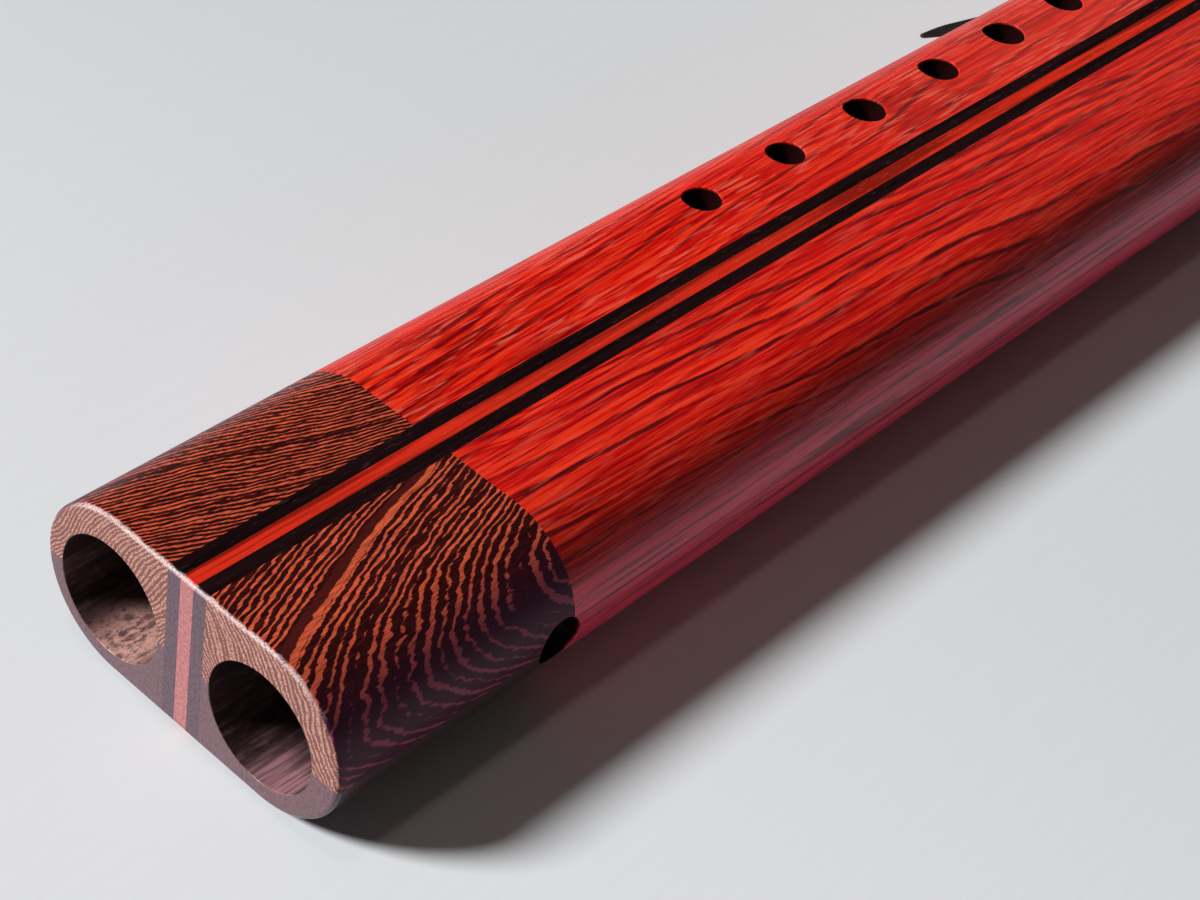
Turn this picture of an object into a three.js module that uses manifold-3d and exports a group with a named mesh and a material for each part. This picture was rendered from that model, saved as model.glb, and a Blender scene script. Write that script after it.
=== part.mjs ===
// Double-chamber wooden flute: two bores side by side in one laminated body, a melody
// side (+Y) with six finger holes and a plain drone side (-Y), a block tied over both
// flues with a flat leather lace. The foot is at -X and the mouth end at +X.
import * as THREE from 'three';
import { mergeVertices } from 'three/addons/utils/BufferGeometryUtils.js';
import Module from 'manifold-3d';

const wasm = await Module();
wasm.setup();

// Body, in millimetres
const body_length = 560;
const body_width = 65.2;
const upper_thickness = 17.1;
const lower_thickness = 14.5;
const outline_shift = 1;
const strip_thickness = 2.8;
const foot_block_length = 50;
const head_block_length = 50;

// Bores, chambers and holes
const side_wall_thickness = 4.6;
const bore_web_thickness = 11.6;
const tuning_hole_diameter = 9;
const tuning_hole_from_foot = 47.3;
const finger_hole_diameter = 8.4;
const finger_hole_diameter_shares = [0.91, 0.93, 1.03, 1, 1.06, 1.02];
const finger_line_inset = 0.6;
const chamber_wall_thickness = 14;
const slow_air_chamber_length = 121;
const mouth_wall_thickness = 25;
const blow_hole_diameter = 6.5;
const blow_hole_spacing = 20;

// Flues, in the nest milled flat on the top
const sound_hole_length = 6;
const sound_hole_from_wall = 2;
const flue_width = 9;
const flue_depth = 1;
const flue_length = 18;
const flue_line_inset = 2.4;
const air_hole_length = 7;
const nest_depth = 1.5;
const nest_length = 82;
const ramp_length = 8;
const splitting_edge_drop = 0.5;

// Finger holes stand along the sounding length, from tuning hole to sound hole
const finger_hole_place_shares = [0.2567, 0.3284, 0.4012, 0.4738, 0.5420, 0.6077];

// Mouth end
const mouth_plan_radius = 15;
const mouth_edge_radius = 7;

// Block
const block_length = 62;
const block_width = 46;
const block_height = 22;
const block_shoulder_radius = 10;
const block_brow_corner_radius = 5;
const block_tail_corner_radius = 16;
const block_set_back = 0.5;
const block_clearance = 0.3;
const block_travel_to_foot = 2;
const block_travel_to_head = 4;
const notch_depth = 3.5;
const notch_corner_radius = 6;
const notch_end_clearance = 0.4;

// Lace
const lace_width = 3.2;
const lace_thickness = 1.1;
const lace_edge = 0.35;
const lace_clearance = 0.3;
const lace_turns = 2;
const lace_pitch = 3.8;
const lace_lift = 0.5;
const lace_place_share = 0.42;
const lace_straight_share = 1.5;
const band_slant_share = 0.15;
const knot_length = 11.4;
const knot_height = 8;
const knot_thickness = 5;
const knot_round = 1;

// Free tails of the lace, as chosen by hand: along from the knot, out from the body, and
// height over the plane that the flute rests on. The knot gives the first two heights.
const tail_to_foot_points = [
  [0, 0, null], [6, 0, null], [12, 0.8, 15.6], [18, 2.2, 12.4], [24, 3.8, 8.6], [30, 5.2, 5],
  [36.5, 6.5, 2.2], [44, 7.6, 0.85], [53, 8.6, 0.6], [66, 9.2, 0.6], [80, 9, 0.6], [94, 8.4, 0.6],
  [108, 8.4, 0.6], [120, 9.6, 0.6], [131, 11.8, 0.6], [141, 14.3, 0.6], [151, 17, 0.6],
];
const tail_to_head_points = [
  [0, 0, null], [6, 0, null], [12, 0.8, 15.6], [18, 2.2, 12.4], [24, 3.8, 8.6], [30, 5.2, 5],
  [36.5, 6.5, 2.2], [44, 7.6, 0.85], [53, 8.4, 0.6], [64, 8.6, 0.6], [76, 8, 0.6], [88, 6.6, 0.6],
  [99, 4.6, 0.6], [109, 2.2, 0.6],
];

const tail_drop_share = 0.3;
const tail_step_share = 2;

// Working values
const overrun = 5;
const outline_steps = 20;
const bore_sides = 64;
const hole_sides = 40;
const knot_round_steps = 3;

// Levels are heights over the glue seam, where the bores have their axes
const outline_radius = (upper_thickness + lower_thickness) / 2;
const outline_middle_z = (upper_thickness - lower_thickness) / 2;
const outline_middle_y = -outline_shift;
const outline_corner_y = body_width / 2 - outline_radius;

// Each bore fills its half of the body between the web in the middle and the side wall
const bore_diameter = body_width / 2 - bore_web_thickness / 2 - side_wall_thickness;
const bore_line = (bore_web_thickness + bore_diameter) / 2;
const flue_line = bore_line - flue_line_inset;
const finger_line = bore_line - finger_line_inset;

// Stations along the body, counted from the foot end
const slow_air_chamber_head = body_length - mouth_wall_thickness;
const slow_air_chamber_foot = slow_air_chamber_head - slow_air_chamber_length;
const chamber_wall_from_foot = slow_air_chamber_foot - chamber_wall_thickness;
const sound_hole_head_edge = chamber_wall_from_foot - sound_hole_from_wall;
const sound_hole_foot_edge = sound_hole_head_edge - sound_hole_length;
const air_hole_foot_edge = sound_hole_head_edge + flue_length;
const nest_level = upper_thickness - nest_depth;
const sides = { melody: 1, drone: -1 };

// Colours and finish of each stuff
const stuffs = {
  red_wood: { color: 0xc4301c, roughness: 0.35 },
  striped_wood: { color: 0x5c3320, roughness: 0.38 },
  brown_wood: { color: 0x3d2a2b, roughness: 0.45 },
  black_strip: { color: 0x1d1315, roughness: 0.4 },
  red_strip: { color: 0xd84a2c, roughness: 0.35 },
  leather: { color: 0x121114, roughness: 0.6 },
};

function stuff(name) {
  return new THREE.MeshStandardMaterial({ ...stuffs[name], metalness: 0 });
}

function mesh(name, geometry, stuffName) {
  const piece = new THREE.Mesh(geometry, stuff(stuffName));
  piece.name = name;
  return piece;
}

// A closed three.js geometry as a solid that can be joined and cut
function solid(geometry) {
  geometry.deleteAttribute('normal');
  geometry.deleteAttribute('uv');
  const merged = mergeVertices(geometry);
  return new wasm.Manifold(new wasm.Mesh({
    numProp: 3,
    vertProperties: new Float32Array(merged.attributes.position.array),
    triVerts: new Uint32Array(merged.index.array),
  }));
}

function geometryOf(body) {
  const faces = body.getMesh();
  const geometry = new THREE.BufferGeometry();
  geometry.setAttribute('position', new THREE.BufferAttribute(faces.vertProperties, 3));
  geometry.setIndex(new THREE.BufferAttribute(faces.triVerts, 1));
  geometry.computeVertexNormals();
  return geometry;
}

// A box between two corners, with its faces exactly at their coordinates
function brick(low, high) {
  const box = new THREE.BoxGeometry();
  const place = box.attributes.position;
  for (let i = 0; i < place.count; i += 1) {
    place.setXYZ(i,
      place.getX(i) > 0 ? high.x : low.x,
      place.getY(i) > 0 ? high.y : low.y,
      place.getZ(i) > 0 ? high.z : low.z);
  }
  return solid(box);
}

// An outline drawn in (y, z), carried along X
function alongX(outline, from, to, steps = outline_steps) {
  const turn = new THREE.Matrix4().makeBasis(
    new THREE.Vector3(0, 1, 0), new THREE.Vector3(0, 0, 1), new THREE.Vector3(1, 0, 0));
  const options = { depth: to - from, bevelEnabled: false, curveSegments: steps };
  return solid(new THREE.ExtrudeGeometry(outline, options).applyMatrix4(turn).translate(from, 0, 0));
}

// An outline drawn in (x, z), carried along Y between two places
function alongY(outline, from, to, steps = outline_steps) {
  const turn = new THREE.Matrix4().makeBasis(
    new THREE.Vector3(1, 0, 0), new THREE.Vector3(0, 0, 1), new THREE.Vector3(0, -1, 0));
  const options = { depth: to - from, bevelEnabled: false, curveSegments: steps };
  return solid(new THREE.ExtrudeGeometry(outline, options).applyMatrix4(turn).translate(0, to, 0));
}

function rodAlongX(diameter, from, to, y, z, round) {
  const rod = new THREE.CylinderGeometry(diameter / 2, diameter / 2, to - from, round);
  return solid(rod.rotateZ(Math.PI / 2).translate((from + to) / 2, y, z));
}

function rodAlongY(diameter, from, to, x, z, round) {
  const rod = new THREE.CylinderGeometry(diameter / 2, diameter / 2, to - from, round);
  return solid(rod.translate(x, (from + to) / 2, z));
}

function rodAlongZ(diameter, from, to, x, y, round) {
  const rod = new THREE.CylinderGeometry(diameter / 2, diameter / 2, to - from, round);
  return solid(rod.rotateX(Math.PI / 2).translate(x, y, (from + to) / 2));
}

// Two half circles joined by flats, the section of the whole body
function bodyOutline() {
  const outline = new THREE.Shape();
  const quarter = Math.PI / 2;
  outline.absarc(outline_middle_y + outline_corner_y, outline_middle_z, outline_radius, -quarter, quarter);
  outline.absarc(outline_middle_y - outline_corner_y, outline_middle_z, outline_radius, quarter, 3 * quarter);
  return outline;
}

// What the mouth end keeps, seen from above: its corners are rounded
function mouthPlan() {
  const outline = new THREE.Shape();
  const low = outline_middle_y - body_width / 2;
  const high = outline_middle_y + body_width / 2;
  const r = mouth_plan_radius;
  outline.moveTo(-overrun, low - overrun);
  outline.lineTo(body_length - r - overrun, low - overrun);
  outline.lineTo(body_length - r - overrun, low);
  outline.absarc(body_length - r, low + r, r, -Math.PI / 2, 0);
  outline.absarc(body_length - r, high - r, r, 0, Math.PI / 2);
  outline.lineTo(body_length - r - overrun, high);
  outline.lineTo(body_length - r - overrun, high + overrun);
  outline.lineTo(-overrun, high + overrun);
  return outline;
}

// What the mouth end keeps, seen from the side
function mouthSide() {
  const outline = new THREE.Shape();
  const r = mouth_edge_radius;
  outline.moveTo(-overrun, -lower_thickness - overrun);
  outline.lineTo(body_length - r - overrun, -lower_thickness - overrun);
  outline.lineTo(body_length - r - overrun, -lower_thickness);
  outline.absarc(body_length - r, r - lower_thickness, r, -Math.PI / 2, 0);
  outline.absarc(body_length - r, upper_thickness - r, r, 0, Math.PI / 2);
  outline.lineTo(body_length - r - overrun, upper_thickness);
  outline.lineTo(body_length - r - overrun, upper_thickness + overrun);
  outline.lineTo(-overrun, upper_thickness + overrun);
  return outline;
}

// Bore, slow air chamber, blow hole, tuning hole and flue of one side
function chamberCuts(side) {
  const y = side * bore_line;
  const outside = side * body_width;
  const cuts = [
    rodAlongX(bore_diameter, -overrun, chamber_wall_from_foot, y, 0, bore_sides),
    rodAlongX(bore_diameter, slow_air_chamber_foot, slow_air_chamber_head, y, 0, bore_sides),
    rodAlongX(blow_hole_diameter, slow_air_chamber_head - overrun, body_length + overrun,
      side * blow_hole_spacing / 2, 0, hole_sides),
    rodAlongY(tuning_hole_diameter, Math.min(y, outside), Math.max(y, outside),
      tuning_hole_from_foot, 0, hole_sides),
  ];
  return cuts.concat(flueCuts(side * flue_line));
}

// Sound hole with its splitting ramp, flue and air hole, along one line of the top
function flueCuts(y) {
  const low = y - flue_width / 2;
  const high = y + flue_width / 2;
  const cut = (from, to, floor) => brick(
    new THREE.Vector3(from, low, floor), new THREE.Vector3(to, high, nest_level + overrun));
  const ramp = new THREE.Shape();
  const edge_level = nest_level - splitting_edge_drop;
  ramp.moveTo(sound_hole_foot_edge, edge_level);
  ramp.lineTo(sound_hole_foot_edge, upper_thickness + overrun);
  ramp.lineTo(sound_hole_foot_edge - ramp_length, upper_thickness + overrun);
  ramp.lineTo(sound_hole_foot_edge - ramp_length, upper_thickness);
  return [
    cut(sound_hole_foot_edge, sound_hole_head_edge, 0),
    cut(sound_hole_head_edge, air_hole_foot_edge, nest_level - flue_depth),
    cut(air_hole_foot_edge, air_hole_foot_edge + air_hole_length, 0),
    alongY(ramp, low, high),
  ];
}

function fingerHoles() {
  const sounding_length = sound_hole_foot_edge - tuning_hole_from_foot;
  return finger_hole_place_shares.map((share, i) => {
    const x = tuning_hole_from_foot + share * sounding_length;
    const diameter = finger_hole_diameter * finger_hole_diameter_shares[i];
    return rodAlongZ(diameter, 0, upper_thickness + overrun, x, finger_line, hole_sides);
  });
}

// The whole glued body, before it comes apart along its glue lines
function wholeBody() {
  const half = body_width / 2 + overrun;
  const nest_head_edge = sound_hole_foot_edge + nest_length;
  const nest = brick(
    new THREE.Vector3(sound_hole_foot_edge, outline_middle_y - half, nest_level),
    new THREE.Vector3(nest_head_edge, outline_middle_y + half, upper_thickness + overrun));
  const plan = new THREE.ExtrudeGeometry(mouthPlan(), {
    depth: upper_thickness + lower_thickness + 2 * overrun,
    bevelEnabled: false,
    curveSegments: outline_steps / 2,
  }).translate(0, 0, -lower_thickness - overrun);
  let body = alongX(bodyOutline(), 0, body_length)
    .intersect(solid(plan))
    .intersect(alongY(mouthSide(), -body_width, body_width, outline_steps / 2))
    .subtract(nest);
  for (const cut of [...chamberCuts(sides.melody), ...chamberCuts(sides.drone), ...fingerHoles()]) {
    body = body.subtract(cut);
  }
  return body;
}

// Glued pieces: a lane across the width, a level over or under the seam, a stretch along X
function bodyPieces() {
  const whole = wholeBody();
  const far = body_width;
  const inner = strip_thickness / 2;
  const outer = inner + strip_thickness;
  const foot_joint = foot_block_length;
  const head_joint = body_length - head_block_length;
  const levels = { upper: [0, upper_thickness + overrun], lower: [-lower_thickness - overrun, 0] };
  const stretches = {
    foot_block: [-overrun, foot_joint],
    board: [foot_joint, head_joint],
    head_block: [head_joint, body_length + overrun],
  };
  const lanes = { melody: [outer, far], drone: [-far, -outer] };
  const strips = {
    black_strip_melody: [inner, outer],
    red_strip: [-inner, inner],
    black_strip_drone: [-outer, -inner],
  };
  const pieces = [];
  const take = (name, x, y, z, stuffName) => {
    const region = brick(new THREE.Vector3(x[0], y[0], z[0]), new THREE.Vector3(x[1], y[1], z[1]));
    pieces.push(mesh(name, geometryOf(whole.intersect(region)), stuffName));
  };
  for (const [level, z] of Object.entries(levels)) {
    const end_stuff = level === 'upper' ? 'striped_wood' : 'brown_wood';
    for (const [lane, y] of Object.entries(lanes)) {
      for (const [stretch, x] of Object.entries(stretches)) {
        take(`${level}_${stretch}_${lane}`, x, y, z, stretch === 'board' ? 'red_wood' : end_stuff);
      }
    }
    for (const [strip, y] of Object.entries(strips)) {
      const strip_stuff = strip === 'red_strip' ? 'red_strip' : 'black_strip';
      take(`${level}_${strip}`, [-overrun, body_length + overrun], y, z, strip_stuff);
    }
  }
  return pieces;
}

// Block over the flues
const block_foot_end = sound_hole_head_edge + block_set_back;
const block_base = nest_level + block_clearance;
const block_top = block_base + block_height;
const lace_middle_x = block_foot_end + block_length * lace_place_share;
const notch_level = block_top - notch_depth;
const band_middle_x = lace_middle_x + lace_pitch / 4;
const band_half = lace_pitch * ((lace_turns - 1) / 2 + band_slant_share) + lace_width / 2;

// Side view of the block in shares of its length and height, from its foot end round the
// top: a steep brow, a long level back and a low rounded tail
const block_side_shares = {
  start: [0, 0.28],
  brow: [[0.03, 0.62], [0.14, 0.98], [0.34, 1]],
  back: [0.56, 1],
  tail: [[0.78, 0.98], [0.96, 0.62], [1, 0.26]],
};

function blockSide() {
  const at = ([along, up]) => [block_foot_end + along * block_length, block_base + up * block_height];
  const outline = new THREE.Shape();
  outline.moveTo(...at([0, 0]));
  outline.lineTo(...at([1, 0]));
  outline.lineTo(...at(block_side_shares.tail[2]));
  outline.bezierCurveTo(...at(block_side_shares.tail[1]), ...at(block_side_shares.tail[0]),
    ...at(block_side_shares.back));
  outline.lineTo(...at(block_side_shares.brow[2]));
  outline.bezierCurveTo(...at(block_side_shares.brow[1]), ...at(block_side_shares.brow[0]),
    ...at(block_side_shares.start));
  return outline;
}

// End view of the block: square at its base, round at both shoulders
function blockEnd(top, radius) {
  const outline = new THREE.Shape();
  const half = block_width / 2;
  outline.moveTo(outline_middle_y - half, block_base);
  outline.lineTo(outline_middle_y + half, block_base);
  outline.absarc(outline_middle_y + half - radius, top - radius, radius, 0, Math.PI / 2);
  outline.absarc(outline_middle_y - half + radius, top - radius, radius, Math.PI / 2, Math.PI);
  return outline;
}

// The block from above: small corners at the brow, large ones at the tail
function blockPlan() {
  const outline = new THREE.Shape();
  const low = outline_middle_y - block_width / 2;
  const high = outline_middle_y + block_width / 2;
  const brow = block_brow_corner_radius;
  const tail = block_tail_corner_radius;
  const head_end = block_foot_end + block_length;
  outline.absarc(block_foot_end + brow, low + brow, brow, Math.PI, 1.5 * Math.PI);
  outline.absarc(head_end - tail, low + tail, tail, 1.5 * Math.PI, 2 * Math.PI);
  outline.absarc(head_end - tail, high - tail, tail, 0, Math.PI / 2);
  outline.absarc(block_foot_end + brow, high - brow, brow, Math.PI / 2, Math.PI);
  return outline;
}

function makeBlock() {
  const half = block_width / 2;
  const plan = new THREE.ExtrudeGeometry(blockPlan(), {
    depth: block_height + 2 * overrun,
    bevelEnabled: false,
    curveSegments: outline_steps / 2,
  }).translate(0, 0, block_base - overrun);
  const shape = alongY(blockSide(), outline_middle_y - half - overrun, outline_middle_y + half + overrun)
    .intersect(alongX(blockEnd(block_top, block_shoulder_radius), block_foot_end - overrun,
      block_foot_end + block_length + overrun, outline_steps / 2))
    .intersect(solid(plan));
  const notch_foot = band_middle_x - band_half - block_travel_to_head - notch_end_clearance;
  const notch_head = band_middle_x + band_half + block_travel_to_foot + notch_end_clearance;
  const slot = brick(
    new THREE.Vector3(notch_foot, outline_middle_y - half - overrun, notch_level - notch_corner_radius),
    new THREE.Vector3(notch_head, outline_middle_y + half + overrun, block_top + overrun));
  const core = alongX(blockEnd(notch_level, notch_corner_radius), notch_foot - overrun,
    notch_head + overrun, outline_steps / 2);
  return mesh('block', geometryOf(shape.subtract(slot.subtract(core))), 'striped_wood');
}

// Lace section, flat with thin edges, as (across, through) pairs
function laceSection() {
  const a = lace_width / 2;
  const b = lace_thickness / 2;
  const c = a - lace_edge;
  return [[a, 0], [c, b], [-c, b], [-a, 0], [-c, -b], [c, -b]];
}

// The lace hugs four round corners: body and notch corners of both sides
const body_corner = new THREE.Vector2(outline_corner_y, outline_middle_z);
const notch_corner = new THREE.Vector2(
  block_width / 2 - notch_corner_radius, notch_level - notch_corner_radius);

// Direction square to the straight run that touches both corners of one side
function shoulderAngle() {
  const way = new THREE.Vector2().subVectors(notch_corner, body_corner);
  return way.angle() - Math.acos((outline_radius - notch_corner_radius) / way.length());
}

// One turn of the lace as corner points, from just under the knot round below the body,
// up the drone side, over the block and down to the knot. A corner of n points is the
// outline of n + 1 straight runs that all touch the round it goes over.
function turnCorners() {
  const shoulder = shoulderAngle();
  const down = Math.PI / 2;
  const arcs = [
    [1, body_corner, outline_radius, 0, -down, 5],
    [-1, body_corner, outline_radius, -down, 0, 5],
    [-1, body_corner, outline_radius, 0, shoulder, 3],
    [-1, notch_corner, notch_corner_radius, shoulder, down, 4],
    [1, notch_corner, notch_corner_radius, down, shoulder, 4],
    [1, body_corner, outline_radius, shoulder, 0, 3],
  ];
  const corners = [];
  for (const [side, centre, radius, from, to, count] of arcs) {
    const step = (to - from) / count;
    const reach = (radius + lace_clearance + lace_thickness / 2) / Math.cos(step / 2);
    for (let i = 0; i < count; i += 1) {
      const angle = from + (i + 0.5) * step;
      const out = new THREE.Vector2(side * Math.cos(angle), Math.sin(angle));
      const point = new THREE.Vector2(outline_middle_y + side * centre.x, centre.y)
        .addScaledVector(out, reach);
      corners.push({ point, out, reach: 1 / Math.cos(step / 2) });
    }
  }
  return corners;
}

// The knot sits on the melody side, over the middle pass of the lace
const knot_inner_y = outline_middle_y + body_width / 2 + lace_clearance + lace_thickness + lace_lift;
const knot_layer_y = knot_inner_y + knot_round + lace_thickness / 2;
const knot_middle_y = knot_inner_y + knot_thickness / 2;
const knot_middle_z = outline_middle_z;

// Centre line of the wound lace: rings with their place, their outward and their reach.
// Both ends rise over the middle pass as they near the knot, and meet it straight.
function woundLace() {
  const corners = turnCorners();
  const count = corners.length;
  const length = corners.reduce((sum, corner, i) =>
    sum + corner.point.distanceTo(corners[(i + 1) % count].point), 0);
  const rings = [];
  const lift = lace_thickness + lace_lift + knot_round;
  const end_reach = knot_height / 2 + lace_clearance;
  const straight_reach = end_reach + lace_straight_share * lace_width;
  const total = count * lace_turns;
  let run = 0;
  for (let k = 0; k < total; k += 1) {
    const corner = corners[k % count];
    const near_end = Math.min(k, total - 1 - k) < count / 4;
    const height = Math.abs(corner.point.y - knot_middle_z);
    const rise = near_end ? (outline_radius - height) / (outline_radius - straight_reach) : 0;
    const x = lace_middle_x + lace_pitch * (run / length - lace_turns / 2);
    if (rise < 1) {
      const point = corner.point.clone().addScaledVector(corner.out, lift * Math.max(rise, 0));
      rings.push({ x, point, out: corner.out, reach: corner.reach });
    }
    run += corner.point.distanceTo(corners[(k + 1) % count].point);
  }
  const side = new THREE.Vector2(1, 0);
  const straight = (sign, away) => ({
    x: lace_middle_x + sign * lace_pitch * lace_turns / 2,
    point: new THREE.Vector2(knot_layer_y, knot_middle_z + sign * (end_reach + away)),
    out: side,
    reach: 1,
  });
  return [straight(-1, 0), straight(-1, lace_width), ...rings, straight(1, lace_width), straight(1, 0)];
}

// A closed tube of rings with one fan at each end
function tube(rings, section) {
  const places = [];
  const faces = [];
  const n = section.length;
  for (const ring of rings) {
    for (const [across, through] of section) {
      places.push(ring.x + across,
        ring.point.x + ring.out.x * through * ring.reach,
        ring.point.y + ring.out.y * through * ring.reach);
    }
  }
  for (let k = 0; k + 1 < rings.length; k += 1) {
    for (let i = 0; i < n; i += 1) {
      const a = k * n + i;
      const b = k * n + (i + 1) % n;
      faces.push(a, b + n, b, a, a + n, b + n);
    }
  }
  const last = (rings.length - 1) * n;
  for (let i = 1; i + 1 < n; i += 1) {
    faces.push(0, i, i + 1, last, last + i + 1, last + i);
  }
  const geometry = new THREE.BufferGeometry();
  geometry.setAttribute('position', new THREE.Float32BufferAttribute(places, 3));
  geometry.setIndex(faces);
  geometry.computeVertexNormals();
  return geometry;
}

// Least gap between stretches of the wound lace that lie a turn apart
function leastGap(rings, section) {
  const parts_per_run = 6;
  const near = lace_turns * lace_pitch * 2;
  const samples = [];
  let run = 0;
  for (let k = 0; k + 1 < rings.length; k += 1) {
    const a = rings[k];
    const b = rings[k + 1];
    const step = a.point.distanceTo(b.point);
    for (let i = 0; i < parts_per_run; i += 1) {
      const t = i / parts_per_run;
      const point = a.point.clone().lerp(b.point, t);
      const out = a.out.clone().lerp(b.out, t).normalize();
      for (const [across, through] of section) {
        samples.push([run + t * step, a.x + t * (b.x - a.x) + across,
          point.x + out.x * through, point.y + out.y * through]);
      }
    }
    run += step;
  }
  let least = Infinity;
  for (const p of samples) {
    for (const q of samples) {
      if (q[0] - p[0] > near) {
        least = Math.min(least, Math.hypot(p[1] - q[1], p[2] - q[2], p[3] - q[3]));
      }
    }
  }
  return least;
}

function makeWoundLace() {
  const rings = woundLace();
  console.log(`least gap of the wound lace to itself: ${leastGap(rings, laceSection()).toFixed(2)} mm`);
  return mesh('lace_winding', tube(rings, laceSection()), 'leather');
}

// A rounded slab, flat where the winding and the tails meet it
function makeKnot() {
  const half_x = knot_length / 2 - knot_round;
  const half_z = knot_height / 2 - knot_round;
  const outline = new THREE.Shape();
  outline.moveTo(-half_x, -half_z);
  outline.lineTo(half_x, -half_z);
  outline.lineTo(half_x, half_z);
  outline.lineTo(-half_x, half_z);
  const slab = new THREE.ExtrudeGeometry(outline, {
    depth: knot_thickness - 2 * knot_round,
    bevelThickness: knot_round,
    bevelSize: knot_round,
    bevelSegments: knot_round_steps,
    curveSegments: 1,
  });
  slab.rotateX(Math.PI / 2);
  slab.translate(lace_middle_x, knot_middle_y + knot_thickness / 2 - knot_round, knot_middle_z);
  return mesh('lace_knot', geometryOf(solid(slab)), 'leather');
}

// A lace's own way: its flat turns from upright at the knot to lying down, within the drop
class LacePath extends THREE.CatmullRomCurve3 {
  constructor(points, dropShare) {
    super(points, false, 'centripetal');
    this.dropShare = dropShare;
  }

  computeFrenetFrames(steps) {
    const tangents = [];
    const normals = [];
    const binormals = [];
    for (let i = 0; i <= steps; i += 1) {
      const tangent = this.getTangentAt(i / steps);
      const lying = THREE.MathUtils.smoothstep(i / steps, 0, this.dropShare);
      const through = new THREE.Vector3(0, 1 - lying, lying);
      const across = new THREE.Vector3().crossVectors(through, tangent).normalize();
      tangents.push(tangent);
      normals.push(across);
      binormals.push(new THREE.Vector3().crossVectors(tangent, across));
    }
    return { tangents, normals, binormals };
  }
}

// A tail leaves the knot's end face square, drops beside the body and lies on the plane
function makeTail(name, points, sign) {
  const rest_z = -lower_thickness - lace_clearance - lace_thickness;
  const face_x = lace_middle_x + sign * (knot_length / 2 + lace_clearance);
  const path = new LacePath(points.map(([along, out, height]) => new THREE.Vector3(
    face_x + sign * along,
    knot_middle_y + out,
    height === null ? knot_middle_z : rest_z + height,
  )), tail_drop_share);
  const a = lace_width / 2;
  const b = lace_thickness / 2;
  const outline = [[a, -b / 2], [a, b / 2], [a - lace_edge, b], [lace_edge - a, b],
    [-a, b / 2], [-a, -b / 2], [lace_edge - a, -b], [a - lace_edge, -b]];
  const section = new THREE.Shape(outline.map(([across, through]) => new THREE.Vector2(across, through)));
  const steps = Math.round(path.getLength() / (tail_step_share * lace_width));
  return mesh(name, new THREE.ExtrudeGeometry(section, { steps, extrudePath: path }), 'leather');
}

const flute = new THREE.Group();
const standing = [...bodyPieces(), makeBlock(), makeWoundLace()];
const loose = [
  makeKnot(),
  makeTail('lace_tail_to_foot', tail_to_foot_points, -1),
  makeTail('lace_tail_to_head', tail_to_head_points, 1),
];
flute.add(...standing);

// The origin is under the middle of the flute, without its knot and tails
const bounds = new THREE.Box3().setFromObject(flute);
const middle = bounds.getCenter(new THREE.Vector3());
flute.add(...loose);
flute.position.set(-middle.x, -middle.y, -bounds.min.z);
export default flute;
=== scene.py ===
"""Looks of a wooden flute with two bores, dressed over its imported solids.

Lengths are in metres in the part's own frame: the foot end is at -X, the mouth end at +X,
the melody side with the finger holes at +Y, and the flute lies on the plane z = 0.
Pattern sizes inside the materials are in millimetres.
"""

from math import cos, pi, radians, sin
from typing import NamedTuple

import bmesh
import bpy
import numpy as np
from bpy.props import FloatProperty, FloatVectorProperty, IntProperty, PointerProperty
from mathutils import Matrix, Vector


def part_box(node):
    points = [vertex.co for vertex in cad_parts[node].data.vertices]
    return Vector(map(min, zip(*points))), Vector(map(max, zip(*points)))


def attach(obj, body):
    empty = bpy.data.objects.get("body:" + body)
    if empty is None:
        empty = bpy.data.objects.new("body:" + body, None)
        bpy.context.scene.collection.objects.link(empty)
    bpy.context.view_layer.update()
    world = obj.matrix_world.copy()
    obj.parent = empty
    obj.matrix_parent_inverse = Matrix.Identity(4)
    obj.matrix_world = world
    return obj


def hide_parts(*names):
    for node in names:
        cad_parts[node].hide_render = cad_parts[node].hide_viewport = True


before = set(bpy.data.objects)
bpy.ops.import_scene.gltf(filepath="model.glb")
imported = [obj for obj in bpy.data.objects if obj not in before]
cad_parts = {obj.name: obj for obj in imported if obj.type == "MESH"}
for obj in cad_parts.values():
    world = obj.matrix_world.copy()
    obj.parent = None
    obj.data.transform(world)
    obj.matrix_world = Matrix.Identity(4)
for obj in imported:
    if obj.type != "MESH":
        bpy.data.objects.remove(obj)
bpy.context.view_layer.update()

bl_info = {
    "name": "Two-bore Flute Looks",
    "version": (1, 0, 0),
    "blender": (4, 5, 0),
    "location": "View3D > Sidebar > Flute",
    "description": "Woods, lace and stage of a wooden flute with two bores",
    "category": "Add Mesh",
}

MM = 0.001
SIDES = {"melody": 1, "drone": -1}

# What the solids say: glue lines, ends and levels
RED_LOW, RED_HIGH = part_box("upper_red_strip")
FOOT_FACE = RED_LOW.x
MOUTH_FACE = RED_HIGH.x
SEAM = RED_LOW.z
TOP = RED_HIGH.z
FOOT_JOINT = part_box("upper_foot_block_drone")[1].x
HEAD_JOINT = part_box("upper_board_drone")[1].x
STRIP_LINES = (
    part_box("upper_black_strip_drone")[0].y,
    RED_LOW.y,
    RED_HIGH.y,
    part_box("upper_black_strip_melody")[1].y,
)
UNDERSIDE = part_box("lower_red_strip")[0].z
OUTER_Y = {"melody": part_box("upper_board_melody")[1].y, "drone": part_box("upper_board_drone")[0].y}
SIDE_RADIUS = (TOP - UNDERSIDE) / 2
MIDDLE_Z = (TOP + UNDERSIDE) / 2
KNOT_LOW, KNOT_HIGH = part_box("lace_knot")
BLOCK_LOW, BLOCK_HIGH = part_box("block")

# Sizes of the solids that no box gives: the bores and the notch over the block
BORE_RADIUS = 11.1 * MM
BORE_Y = {"melody": 16.6 * MM, "drone": -17.2 * MM}
NOTCH_RADIUS = 6 * MM
NOTCH_DEPTH = 3.5 * MM


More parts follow.
